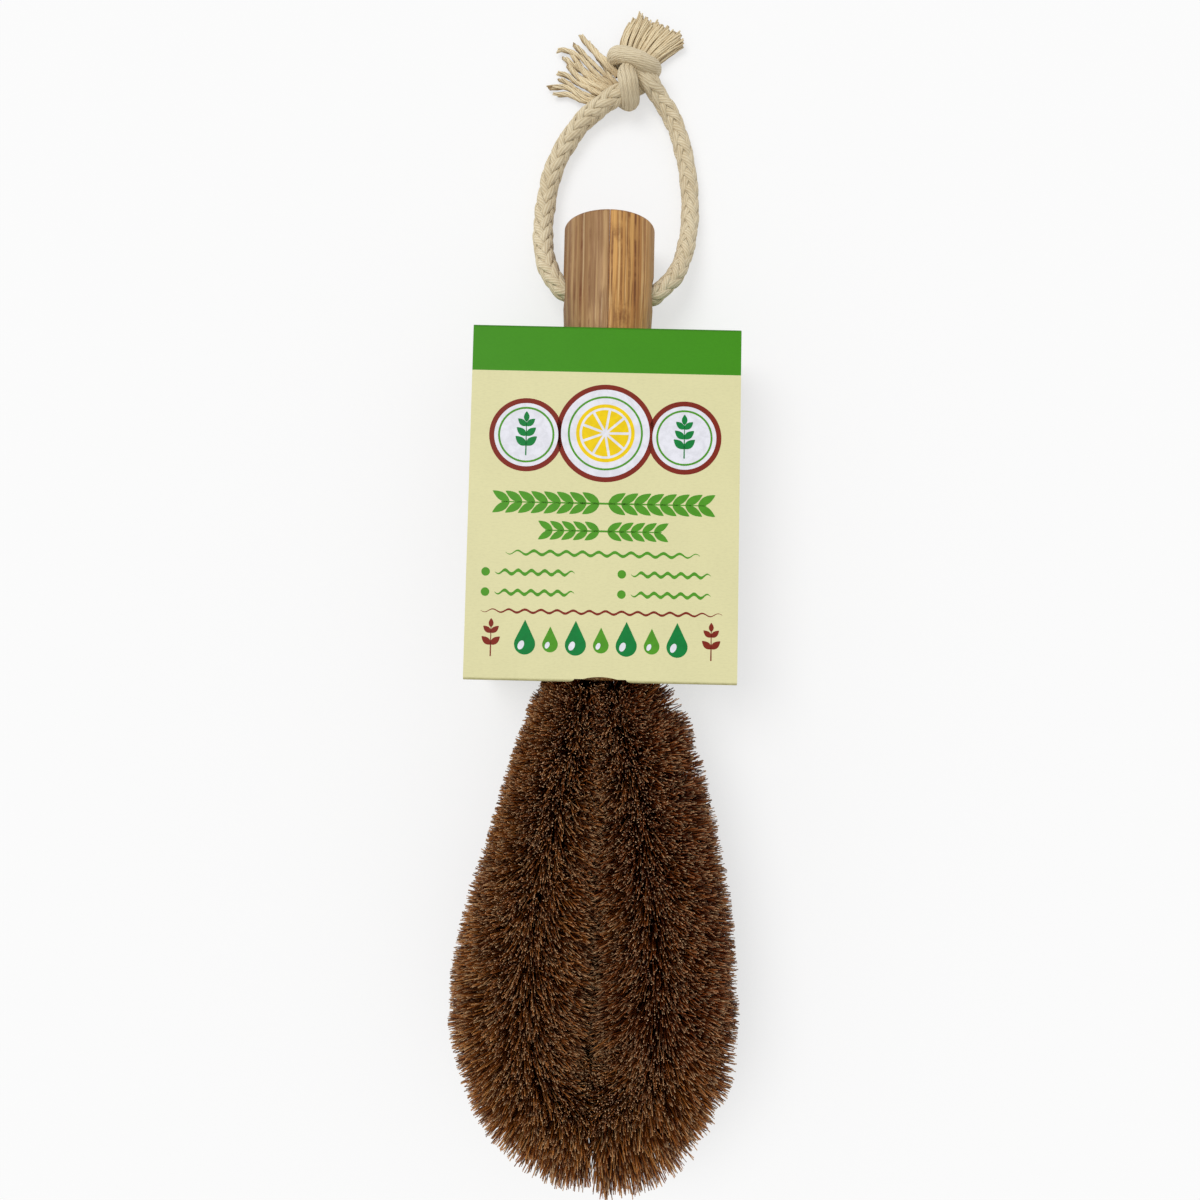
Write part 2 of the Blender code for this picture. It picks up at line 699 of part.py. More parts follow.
def cord_line():
    """Centre points and radii of the whole cord, from the left strand's tail to the right one's."""
    left = route_points(LEFT_ROUTE) + knot_points(LEFT_KNOT)
    right = route_points(RIGHT_ROUTE) + knot_points(RIGHT_KNOT)
    radii = strand_radii(LEFT_ROUTE, LEFT_KNOT)[::-1] + strand_radii(RIGHT_ROUTE, RIGHT_KNOT)
    return smooth_line(left[::-1] + right, radii)


def report_cord(places, widths):
    """Print the cord's length and its least gap to itself, measured on close samples."""
    samples = []
    travelled = 0.0
    for before, after, first, second in zip(places, places[1:], widths, widths[1:]):
        for step in range(CORD_GAP_SAMPLES):
            share = step / CORD_GAP_SAMPLES
            at = travelled + share * (after - before).length
            samples.append((at, blend(before, after, share), blend(first, second, share)))
        travelled += (after - before).length
    least = travelled
    for index, (at, place, width) in enumerate(samples):
        for other_at, other_place, other_width in samples[index + 1:]:
            if other_at - at > 2 * (width + other_width):
                least = min(least, (other_place - place).length - width - other_width)
    print(f"cord: {travelled:.4f} m long, {len(places)} points, least gap to itself {least:.5f} m")


def make_cord(parent, material):
    """The cord as one unbroken tube through the handle and its own reef knot."""
    places, widths = cord_line()
    report_cord(places, widths)
    curve = bpy.data.curves.new("hanging_cord", "CURVE")
    curve.dimensions = "3D"
    curve.bevel_depth = CORD_RADIUS
    curve.bevel_resolution = 2
    curve.use_fill_caps = True
    line = curve.splines.new("POLY")
    line.points.add(len(places) - 1)
    for point, place, width in zip(line.points, places, widths):
        point.co = (*place, 1)
        point.radius = width / CORD_RADIUS
    place_object("hanging_cord", curve, parent, material)
    return places


def make_frayed_end(parent, name, tip, before, length, width, material):
    """Fan of loose yarn that opens and flattens onto the table past the end of the cord."""
    heading = (tip - before).normalized()
    root = tip + heading * SEAT_GAP
    flat_heading = Vector((heading.x, heading.y, 0)).normalized()
    up = Vector((0, 0, 1))
    sideways = up.cross(flat_heading)
    root_up = heading.cross(sideways)
    lowest = FRAY_FLOOR_GAP - HOLE_HEIGHT
    shape = bmesh.new()
    rings = []
    for share in FRAY_RING_SHARES:
        half_width = blend(CORD_TAIL_RADIUS, width / 2, share ** FRAY_OPENING_POWER)
        half_height = blend(CORD_TAIL_RADIUS, FRAY_TIP_THICKNESS / 2, smooth_step(share))
        centre = root + flat_heading * length * share
        centre.z = blend(root.z, lowest + FRAY_TIP_THICKNESS / 2, smooth_step(share))
        centre.z = max(centre.z, lowest + half_height)
        lift = blend(root_up, up, smooth_step(share))
        ring = []
        for index in range(FRAY_SIDES):
            angle = math.tau * index / FRAY_SIDES
            pull = FRAY_BULGE_DEPTH * math.cos(angle) ** 2 + FRAY_TOOTH_DEPTH * (index % 2)
            place = centre + sideways * half_width * math.cos(angle)
            place -= flat_heading * pull * share ** 3
            place += lift * half_height * math.sin(angle)
            ring.append(shape.verts.new(place))
        rings.append(ring)
    for first, second in zip(rings, rings[1:]):
        join_rings(shape, first, second)
    for ring in (rings[0], rings[-1]):
        cap = shape.faces.new(ring)
        bmesh.ops.triangulate(shape, faces=[cap])
    bmesh.ops.recalc_face_normals(shape, faces=shape.faces)
    if shape.calc_volume(signed=True) < 0:
        bmesh.ops.reverse_faces(shape, faces=shape.faces)
    piece = mesh_object(name, shape, parent, material)
    shade_round(piece)
    return piece


def add_empty(name, parent=None, location=(0, 0, 0), rotation=(0, 0, 0)):
    """Empty that carries a group of pieces."""
    empty = bpy.data.objects.new(name, None)
    bpy.context.collection.objects.link(empty)
    empty.parent = parent
    empty.location = location
    empty.rotation_euler = rotation
    return empty


def build():
    """Build every piece of the brush."""
    for leftover in list(bpy.data.objects):
        bpy.data.objects.remove(leftover, do_unlink=True)

    stave_dark = new_material("wood_warm", (0.50, 0.27, 0.11), 0.55)
    stave_pale = new_material("wood_pale", (0.48, 0.33, 0.19), 0.55)
    steel = new_material("galvanised_wire", (0.55, 0.55, 0.54), 0.35, 1.0)
    fibre = new_material("palm_fibre", (0.16, 0.075, 0.028), 0.6)
    card = new_material("printed_card", (0.74, 0.69, 0.40), 0.5)
    cotton = new_material("cotton_cord", (0.80, 0.78, 0.72), 0.9)
    yarn = new_material("cotton_yarn", (0.78, 0.75, 0.68), 0.95)

    brush = add_empty("lying_brush", None, (0, MIDDLE_SHIFT, AXIS_HEIGHT), (-TILT, 0, 0))
    hole = cord_hole_cutter(brush)
    make_stave(brush, -1, "left", hole, stave_pale)
    make_stave(brush, 1, "right", hole, stave_dark)
    make_wire(brush, "wire_strand_a", 0, steel)
    make_wire(brush, "wire_strand_b", math.pi, steel)

    up = Vector((0, -math.sin(TILT), math.cos(TILT)))
    floor = (-AXIS_HEIGHT * up, up)
    strands = 0
    for side, word in ((-1, "left"), (1, "right")):
        for number in range(1, SLICES_PER_BRANCH + 1):
            strands += make_bristles(brush, side, word, number, floor, fibre)
    print(f"bristles: {strands} strands")

    sleeve_slide = add_empty("sleeve_slide", brush)
    make_sleeve(sleeve_slide, card)

    hole_place = (0, MIDDLE_SHIFT + HOLE_ALONG * math.cos(TILT), HOLE_HEIGHT)
    cord_swing = add_empty("cord_swing", None, hole_place)
    places = make_cord(cord_swing, cotton)
    make_frayed_end(
        cord_swing, "frayed_end_left", places[-1], places[-2], LEFT_FRAY_LENGTH, LEFT_FRAY_WIDTH,
        yarn,
    )
    make_frayed_end(
        cord_swing, "frayed_end_right", places[0], places[1], RIGHT_FRAY_LENGTH, RIGHT_FRAY_WIDTH,
        yarn,
    )


build()
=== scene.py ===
"""Dish brush with a turned wooden handle, dressed on its CAD frame and lit in a plain pale studio.

The brush's own frame has +Y along the handle to the hanging end and +Z away from the table. Meshes
that are drawn in it are turned into the shared frame before they are used. All lengths are metres,
apart from the tables of the cord and its yarns, which are in tenths of a millimetre.
"""

import json
import logging
import math
import random
from cmath import rect
from collections.abc import Callable, Sequence
from dataclasses import dataclass, field
from enum import Enum
from functools import cache
from typing import Any

import bmesh
import bpy
from mathutils import Euler, Matrix, Vector


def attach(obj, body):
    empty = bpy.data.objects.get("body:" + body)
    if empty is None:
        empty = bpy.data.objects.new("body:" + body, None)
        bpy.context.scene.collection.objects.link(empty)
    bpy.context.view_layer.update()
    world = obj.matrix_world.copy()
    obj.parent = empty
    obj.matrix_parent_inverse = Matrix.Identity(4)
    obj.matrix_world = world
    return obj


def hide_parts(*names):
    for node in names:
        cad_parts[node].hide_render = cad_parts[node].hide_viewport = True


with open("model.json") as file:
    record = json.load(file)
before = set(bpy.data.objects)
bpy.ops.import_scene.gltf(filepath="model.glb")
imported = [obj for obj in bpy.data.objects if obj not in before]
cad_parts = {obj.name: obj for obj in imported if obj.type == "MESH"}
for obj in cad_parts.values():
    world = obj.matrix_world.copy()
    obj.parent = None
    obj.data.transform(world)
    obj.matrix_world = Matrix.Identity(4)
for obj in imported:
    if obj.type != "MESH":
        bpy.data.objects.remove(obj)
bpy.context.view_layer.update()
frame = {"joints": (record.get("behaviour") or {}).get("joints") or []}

LOG = logging.getLogger("dish_brush")
TENTHS = 10000

Colour = tuple[float, float, float, float]
FlatPoint = tuple[float, float]
Mesh = bpy.types.Mesh
Shape = bmesh.types.BMesh
Material = bpy.types.Material
Piece = bpy.types.Object
Socket = bpy.types.NodeSocket


def blend(first: float, second: float, share: float) -> float:
    """The value that lies a share of the way from the first to the second."""
    return first + (second - first) * share


def ease(share: float) -> float:
    """Ease from 0 to 1, level at both ends."""
    share = min(1.0, max(0.0, share))
    return share * share * (3 - 2 * share)


def table_value(table: Sequence[FlatPoint], share: float) -> float:
    """Read a value from pairs of (share, value), straight between them."""
    for (before, first), (after, second) in zip(table, table[1:]):
        if share <= after:
            return blend(first, second, (share - before) / (after - before))
    return table[-1][1]


def paint(red: int, green: int, blue: int) -> Colour:
    """Linear colour with full alpha, from the 0 to 255 values that a picture shows."""
    linear = []
    for value in (red / 255, green / 255, blue / 255):
        linear.append(value / 12.92 if value <= 0.04045 else ((value + 0.055) / 1.055) ** 2.4)
    return (*linear, 1.0)


def in_metres(table: Any) -> Any:
    """A table of tenths of a millimetre, in metres."""
    return tuple(map(in_metres, table)) if isinstance(table, tuple) else table / TENTHS


@dataclass(frozen=True)
class BrushFrame:
    """The lying brush's own frame inside the shared one."""

    origin: Vector
    along: Vector
    hole_along: float = 0.106

    @classmethod
    def from_joints(cls, joints: list[dict[str, Any]]) -> "BrushFrame":
        """Read the frame off the two joints.

        Args:
            joints: The record's joints, in the shared frame.

        Returns:
            The frame with its origin at the middle of the handle's lower end.
        """
        by_name = {joint["name"]: joint for joint in joints}
        along = Vector(by_name["sleeve_slide"]["axis"]).normalized()
        hole = Vector(by_name["cord_swing"]["pos_m"])
        return cls(hole - cls.hole_along * along, along)

    @property
    def up(self) -> Vector:
        """Direction away from the table, square to the handle."""
        return Vector((1, 0, 0)).cross(self.along)

    @property
    def tilt(self) -> float:
        """Angle by which the hanging end lies lower."""
        return math.atan2(-self.along.z, self.along.y)

    @property
    def hole(self) -> Vector:
        """Middle of the cross hole."""
        return self.origin + self.hole_along * self.along

    def matrix(self) -> Matrix:
        """Matrix from the brush's own frame into the shared one."""
        turn = Matrix((Vector((1, 0, 0)), self.along, self.up)).transposed().to_4x4()
        return Matrix.Translation(self.origin) @ turn


class Value:
    """A node's output to reckon with: each operation on it is one more node of its tree."""

    def __init__(self, tree: "NodeTree", socket: Socket) -> None:
        """Keep an output with the tree that it belongs to."""
        self.tree = tree
        self.socket = socket

    @property
    def wide(self) -> bool:
        """Whether it holds three numbers."""
        return self.socket.type in ("VECTOR", "RGBA")

    def __add__(self, other: Any) -> "Value":
        """Sum with a value, a number or three numbers."""
        return self.tree.math("ADD", self, other)

    def __sub__(self, other: Any) -> "Value":
        """Difference to a value, a number or three numbers."""
        return self.tree.math("SUBTRACT", self, other)

    def __rsub__(self, other: Any) -> "Value":
        """What is left of a number without this value."""
        return self.tree.math("SUBTRACT", other, self)

    def __mul__(self, other: Any) -> "Value":
        """Product with a value, a number or three numbers."""
        return self.tree.math("MULTIPLY", self, other)

    def __truediv__(self, other: Any) -> "Value":
        """Quotient by a value or a number."""
        return self.tree.math("DIVIDE", self, other)

    def __pow__(self, other: Any) -> "Value":
        """Power of this value."""
        return self.tree.math("POWER", self, other)

    def __abs__(self) -> "Value":
        """Size without its sign."""
        return self.tree.math("ABSOLUTE", self)


class NodeTree:
    """Small helper that adds nodes to a tree and links what feeds them."""

    def __init__(self, tree: bpy.types.NodeTree) -> None:
        """Work on one tree."""
        self.tree = tree

    def put(self, socket: Socket, value: Any) -> None:
        """Link a value to an input, or set a plain one on it."""
        if isinstance(value, Value):
            self.tree.links.new(value.socket, socket)
        else:
            socket.default_value = value

    def node(self, kind: str, inputs: dict[Any, Any] | None = None, **settings: Any) -> bpy.types.Node:
        """Add one node.

        Args:
            kind: The node's type.
            inputs: Values or plain numbers by the input's name or number.
            **settings: Properties of the node, set before its inputs.

        Returns:
            The new node.
        """
        node = self.tree.nodes.new(kind)
        for name, value in settings.items():
            setattr(node, name, value)
        for key, value in (inputs or {}).items():
            self.put(node.inputs[key], value)
        return node

    def add(self, kind: str, inputs: dict[Any, Any] | None = None, output: Any = 0,
            **settings: Any) -> Value:
        """Add one node and return one of its outputs, by name or number."""
        return Value(self, self.node(kind, inputs, **settings).outputs[output])

    def math(self, operation: str, *values: Any) -> Value:
        """Reckon with a Math node, or a Vector Math node where one value holds three numbers.

        Args:
            operation: The node's operation.
            *values: Values, numbers or triples of numbers.

        Returns:
            The result.
        """
        wide = [value for value in values if isinstance(value, tuple) or getattr(value, "wide", False)]
        if not wide:
            return self.add("ShaderNodeMath", dict(enumerate(values)), operation=operation)
        if operation == "MULTIPLY" and len(wide) == 1:
            factor = next(value for value in values if value is not wide[0])
            return self.add("ShaderNodeVectorMath", {0: wide[0], "Scale": factor}, operation="SCALE")
        output = 1 if operation in ("DOT_PRODUCT", "DISTANCE", "LENGTH") else 0
        return self.add("ShaderNodeVectorMath", dict(enumerate(values)), output, operation=operation)

    def split(self, vector: Value) -> tuple[Value, Value, Value]:
        """The three numbers of a vector."""
        outputs = self.node("ShaderNodeSeparateXYZ", {0: vector}).outputs
        return tuple(Value(self, output) for output in outputs)

    def join(self, across: Any = 0.0, along: Any = 0.0, up: Any = 0.0) -> Value:
        """A vector from three numbers."""
        return self.add("ShaderNodeCombineXYZ", {0: across, 1: along, 2: up})

    def ranged(self, value: Any, low: Any, high: Any, first: float = 0.0, last: float = 1.0,
               smooth: bool = False) -> Value:
        """A value moved from one range into another and held inside it."""
        kind = "SMOOTHSTEP" if smooth else "LINEAR"
        inputs = {0: value, 1: low, 2: high, 3: first, 4: last}
        return self.add("ShaderNodeMapRange", inputs, interpolation_type=kind)

    def mixed(self, factor: Any, first: Any, second: Any, way: str = "MIX") -> Value:
        """Two colours mixed by a factor."""
        inputs = {0: factor, 6: first, 7: second}
        return self.add("ShaderNodeMix", inputs, 2, data_type="RGBA", blend_type=way)

    def layered(self, colour: Any, *coats: tuple[Any, Any]) -> Value:
        """A colour under one coat after another, each with its share."""
        for share, coat in coats:
            colour = self.mixed(share, colour, coat)
        return colour

    def toned(self, colour: Any, tone: Value) -> Value:
        """A colour made darker or lighter by a tone."""
        grey = self.add("ShaderNodeCombineColor", {0: tone, 1: tone, 2: tone})
        return self.mixed(1.0, colour, grey, "MULTIPLY")

    def between(self, factor: Any, first: Any, second: Any) -> Value:
        """Two numbers mixed by a factor."""
        return self.add("ShaderNodeMix", {0: factor, 2: first, 3: second})

    def ramp(self, value: Any, stops: Sequence[tuple[float, Colour]]) -> Value:
        """Colour read off a ramp.

        Args:
            value: Where to read it.
            stops: Places on the ramp, lowest first, with their colours.

        Returns:
            The colour.
        """
        node = self.node("ShaderNodeValToRGB", {0: value})
        elements = node.color_ramp.elements
        elements.remove(elements[-1])
        elements[0].position, elements[0].color = stops[0]
        for place, colour in stops[1:]:
            elements.new(place).color = colour
        return Value(self, node.outputs[0])

    def noise(self, vector: Any, scale: Any = 1.0, detail: float = 3.0, roughness: float = 0.5,
              distortion: float = 0.0, output: int = 0) -> Value:
        """A noise texture's number, or its colour as output 1."""
        inputs = {0: vector, 2: scale, 3: detail, 4: roughness, 8: distortion}
        return self.add("ShaderNodeTexNoise", inputs, output)

    def drift(self, vector: Any, detail: float, roughness: float) -> Value:
        """A noise's colour as a shift that goes either way."""
        return self.noise(vector, 1.0, detail, roughness, output=1) - (0.5, 0.5, 0.5)


class EffectGroup(NodeTree):
    """Node group of one surface effect, with named inputs and one named output."""

    def __init__(self, name: str, output: str, **inputs: Any) -> None:
        """Start the group.

        Args:
            name: The group's name.
            output: The output's name.
            **inputs: Default values by name. A tuple makes a vector socket.
        """
        super().__init__(bpy.data.node_groups.new(name, "ShaderNodeTree"))
        for label, value in {"Vector": (0.0, 0.0, 0.0), **inputs}.items():
            kind = "NodeSocketVector" if isinstance(value, tuple) else "NodeSocketFloat"
            socket = self.tree.interface.new_socket(label, in_out="INPUT", socket_type=kind)
            socket.default_value = value
        self.tree.interface.new_socket(output, in_out="OUTPUT", socket_type="NodeSocketFloat")
        self.start = self.node("NodeGroupInput")
        self.end = self.node("NodeGroupOutput")

    def __getitem__(self, label: str) -> Value:
        """The value of a named input."""
        return Value(self, self.start.outputs[label])

    def finish(self, result: Value) -> bpy.types.NodeTree:
        """Give the result out."""
        self.put(self.end.inputs[0], result)
        return self.tree


@cache
def streaks() -> bpy.types.NodeTree:
    """Long thin lines: a noise that is drawn out by a scale of its own on each axis."""
    group = EffectGroup("thin_streaks", "Streaks", Scales=(900.0, 40.0, 900.0), From=0.45, To=0.65)
    noise = group.noise(group["Vector"] * group["Scales"], roughness=0.55)
    return group.finish(group.ranged(noise, group["From"], group["To"]))


@cache
def clouds() -> bpy.types.NodeTree:
    """Soft uneven patches of two sizes."""
    group = EffectGroup("soft_clouds", "Clouds", Scale=60.0, From=0.35, To=0.65)
    noise = group.noise(group["Vector"], group["Scale"], 4.0, 0.6, 0.4)
    return group.finish(group.ranged(noise, group["From"], group["To"], smooth=True))


@cache
def grit() -> bpy.types.NodeTree:
    """Fine specks with a soft edge."""
    group = EffectGroup("fine_grit", "Specks", Scale=1500.0, Reach=0.35)
    cells = group.add("ShaderNodeTexVoronoi", {0: group["Vector"], 2: group["Scale"]})
    return group.finish(group.ranged(cells, 0.0, group["Reach"], 1.0, 0.0))


class Surface(NodeTree):
    """A material's nodes round its Principled shader."""

    def __init__(self, name: str, **plain: float) -> None:
        """Start a material.

        Args:
            name: The material's name.
            **plain: Values that are the same all over, with underscores for spaces in their names.
        """
        self.material = bpy.data.materials.new(name)
        self.material.use_nodes = True
        super().__init__(self.material.node_tree)
        self.shader = self.tree.nodes["Principled BSDF"]
        for label, value in plain.items():
            self.shader.inputs[label.replace("_", " ")].default_value = value

    def place(self) -> Value:
        """Place on the object."""
        return self.add("ShaderNodeTexCoord", None, "Object")

    def attribute(self, name: str, output: str = "Fac") -> Value:
        """An attribute of the mesh, as a number or as a vector."""
        return self.add("ShaderNodeAttribute", None, output, attribute_name=name)

    def effect(self, group: Callable[[], bpy.types.NodeTree], vector: Value, **values: Any) -> Value:
        """Place a shared effect, with values by the names of its inputs."""
        return self.add("ShaderNodeGroup", {"Vector": vector, **values}, node_tree=group())

    def bump(self, height: Value, depth: float, strength: float) -> None:
        """Let a height raise the surface by up to a depth."""
        inputs = {"Height": height, "Distance": depth, "Strength": strength}
        self.put(self.shader.inputs["Normal"], self.add("ShaderNodeBump", inputs))

    def finish(self, colour: Value, roughness: Value | None = None) -> Material:
        """Give the shader its colour and, where it changes over the surface, its roughness."""
        self.put(self.shader.inputs["Base Color"], colour)
        if roughness is not None:
            self.put(self.shader.inputs["Roughness"], roughness)
        return self.material


@dataclass(frozen=True)
class WoodLook:
    """Colours and growth of one stave.

    A knot is its middle across, along and up, then its radius. A vein is its place across, half
    its width and its strength.
    """

    early: Colour
    late: Colour
    light: Colour
    streak: Colour
    # Colour of the painted shade on the handle's flanks.
    side: Colour
    band_scale: float
    band_strength: float
    line_strength: float
    streak_strength: float
    knots: tuple[tuple[float, float, float, float], ...]
    veins: tuple[tuple[float, float, float], ...]


class WoodKind(Enum):
    """The two staves of the glued handle."""

    PALE = WoodLook(
        paint(184, 146, 98), paint(138, 98, 58), paint(202, 172, 130),
        paint(112, 62, 28), paint(116, 76, 40), 620.0, 0.80, 0.65, 0.75, (),
        ((-0.0105, 0.00026, 0.45), (-0.0092, 0.00024, 0.50), (-0.0074, 0.00034, 0.90),
         (-0.0051, 0.00022, 0.55), (-0.0036, 0.00018, 0.35), (-0.0019, 0.00034, 0.30)),
    )
    WARM = WoodLook(
        paint(206, 156, 90), paint(164, 106, 50), paint(224, 184, 124),
        paint(104, 54, 20), paint(150, 118, 86), 520.0, 0.75, 0.50, 0.90,
        ((0.0019, 0.1180, 0.0123, 0.0022), (0.0038, 0.0962, 0.0112, 0.0028)),
        ((0.0021, 0.00022, 0.40), (0.0032, 0.00024, 0.75), (0.0042, 0.00020, 0.50),
         (0.0053, 0.00026, 0.65), (0.0070, 0.00026, 0.90), (0.0080, 0.00020, 0.50),
         (0.0095, 0.00022, 0.40)),
    )


@dataclass(frozen=True)
class WoodFinish:
    """Oiled, finely turned wood with uneven bands, fine lines, dark streaks and small knots."""

    name: str
    kind: WoodKind
    handle_length: float
    warp_depth: float = 0.0011
    seam_reach: float = 0.0004
    rim_reach: float = 0.0009
    rim_end: float = 0.0002
    side_start: float = 0.0090
    side_end: float = 0.0123
    bump_depth: float = 0.00008

    def build(self, place: BrushFrame) -> Material:
        """Make the material.

        Args:
            place: The brush's own frame, in which the grain runs.

        Returns:
            The finished material.
        """
        look = self.kind.value
        skin = Surface(self.name, Specular_IOR_Level=0.3)
        turn = Euler((place.tilt, 0, 0))
        shift = -(turn.to_matrix() @ place.origin)
        inputs = {"Vector": skin.place(), "Location": tuple(shift), "Rotation": tuple(turn)}
        local = skin.add("ShaderNodeMapping", inputs)
        across, along, _ = skin.split(local)
        slipped = local + skin.drift(local * (190.0, 26.0, 190.0), 3.0, 0.6) * self.warp_depth

        def drawn(scale: float, stretch: float, low: float, high: float) -> Value:
            """Lines along the grain of one fineness."""
            return skin.effect(streaks, slipped, Scales=(scale, stretch, scale), From=low, To=high)

        fibres = drawn(4200.0, 110.0, 0.40, 0.65)
        broken = skin.effect(clouds, slipped, Scale=120.0)
        patches = skin.effect(clouds, local * (1.0, 0.22, 1.0), Scale=170.0)
        dark = (drawn(640.0, 16.0, 0.570, 0.64) * look.streak_strength
                * skin.ranged(broken, 0.0, 1.0, 0.45, 1.0))
        colour = skin.layered(
            look.early,
            (drawn(look.band_scale, 6.0, 0.40, 0.62) * look.band_strength, look.late),
            (drawn(1500.0, 13.0, 0.49, 0.60) * look.line_strength, look.late),
            (drawn(1050.0, 11.0, 0.55, 0.66) * 0.7, look.light),
            (dark, look.streak),
        )
        slipped_across = skin.split(slipped)[0]
        for middle, half_width, strength in look.veins:
            away = abs(slipped_across - middle)
            vein = skin.ranged(away, half_width * 0.4, half_width * 1.8, strength, 0.0, smooth=True)
            share = vein * skin.ranged(broken, 0.0, 0.8, 0.25, 1.0)
            colour = skin.mixed(share, colour, look.streak)
        for knot in look.knots:
            colour = skin.mixed(self._knot(skin, local, knot), colour, look.streak)
        # Painted shade: both flanks of the handle turn towards the side colour.
        flank_shade = skin.ranged(abs(across), self.side_start, self.side_end, 0.0, 0.5, smooth=True)
        colour = skin.mixed(flank_shade, colour, look.side)
        tone = skin.ranged(fibres, 0.0, 1.0, 1.04, 0.90) * skin.ranged(patches, 0.0, 1.0, 0.92, 1.05)
        seam = (skin.ranged(abs(across), 0.0, self.seam_reach, 0.7, 0.0)
                * skin.ranged(broken, 0.0, 1.0, 0.5, 1.0))
        end = self.handle_length
        rim = skin.ranged(along, end - self.rim_reach, end - self.rim_end, 0.0, 0.5, smooth=True)
        colour = skin.layered(skin.toned(colour, tone), (seam, look.streak), (rim, look.streak))
        skin.bump(fibres * 0.4 + dark * -0.6, self.bump_depth, 0.5)
        return skin.finish(colour, skin.between(fibres, 0.46, 0.62))

    @staticmethod
    def _knot(skin: Surface, local: Value, knot: tuple[float, float, float, float]) -> Value:
        """Mask of one small knot.

        Args:
            skin: The material.
            local: Place on the handle.
            knot: Middle across, along and up, then the radius.

        Returns:
            A value that is highest in the knot's middle.
        """
        *middle, radius = knot
        longer = (local - tuple(middle)) * (1.0, 0.6, 1.0)
        mottled = skin.noise(local * (1500.0, 900.0, 1500.0))
        away = skin.math("LENGTH", longer) + mottled * (radius * 1.3)
        return skin.ranged(away, radius * 0.55, radius * 1.6, 0.62, 0.0, smooth=True)


@dataclass(frozen=True)
class FibreFinish:
    """Stiff plant fibre of many browns, with some pale cut tips and painted shade towards the root."""

    name: str = "palm_fibre"
    # Colour of the painted shade deep in the head, towards the fibres' roots.
    root: Colour = paint(22, 10, 5)
    tip: Colour = paint(214, 176, 132)
    browns: tuple[tuple[float, Colour], ...] = (
        (0.00, paint(62, 28, 13)), (0.28, paint(104, 52, 20)),
        (0.52, paint(144, 80, 31)), (0.74, paint(186, 112, 44)),
        (0.90, paint(214, 148, 78)), (1.00, paint(238, 198, 144)),
    )
    # Multiply tint of the painted shade, darker to the right and towards the handle.
    shade_tint: Colour = paint(196, 164, 158)
    pale_side: float = -0.030
    dark_side: float = 0.016
    pale_end: float = -0.108
    dark_end: float = -0.080

    def build(self) -> Material:
        """Make the material from each fibre's own tint and the place along it."""
        skin = Surface(self.name, Roughness=0.42, Specular_IOR_Level=0.3)
        tint = skin.attribute("tint")
        along = skin.attribute("along")
        place = skin.place()
        across, length, _ = skin.split(place)
        patches = skin.effect(clouds, place, Scale=75.0)
        flecks = skin.effect(grit, place, Scale=900.0, Reach=0.5)
        # Painted shade: darker to the right and towards the handle, broken by random patches.
        sided = skin.ranged(across, self.pale_side, self.dark_side, 0.10, 0.80)
        shade_and_patches = (skin.ranged(length, self.pale_end, self.dark_end, 0.15, 1.0)
                  * (patches * 0.35 + sided))
        colour = skin.mixed(shade_and_patches, skin.ramp(tint, self.browns), self.shade_tint, "MULTIPLY")
        chance = skin.math("FRACT", tint * 37.0)
        cut = skin.ranged(along, 0.93, 0.985) * skin.ranged(chance, 0.35, 1.0, 0.1, 0.85)
        # Painted shade: each fibre darkens to the root colour towards its root.
        colour = skin.layered(colour, (skin.ranged(along, 0.34, 0.96, 0.98, 0.0), self.root),
                              (flecks * 0.3, self.root), (cut, self.tip))
        return skin.finish(colour, skin.between(flecks, 0.36, 0.55))


@dataclass(frozen=True)
class WireFinish:
    """Zinc-coated steel wire, dulled in patches."""

    name: str = "galvanised_wire"
    bright: Colour = paint(196, 196, 194)
    dull: Colour = paint(128, 126, 122)

    def build(self) -> Material:
        """Make the material."""
        skin = Surface(self.name, Roughness=0.34, Metallic=1.0)
        place = skin.place()
        patches = skin.effect(clouds, place, Scale=900.0)
        skin.bump(skin.effect(grit, place, Scale=4200.0, Reach=0.4), 0.00002, 0.4)
        colour = skin.mixed(patches, self.bright, self.dull)
        return skin.finish(colour, skin.between(patches, 0.26, 0.46))


class CardSide(Enum):
    """The three kinds of surface on the folded card."""

    PRINTED = "printed_card"
    INSIDE = "bare_card_inside"
    CUT_EDGE = "bare_card_edge"


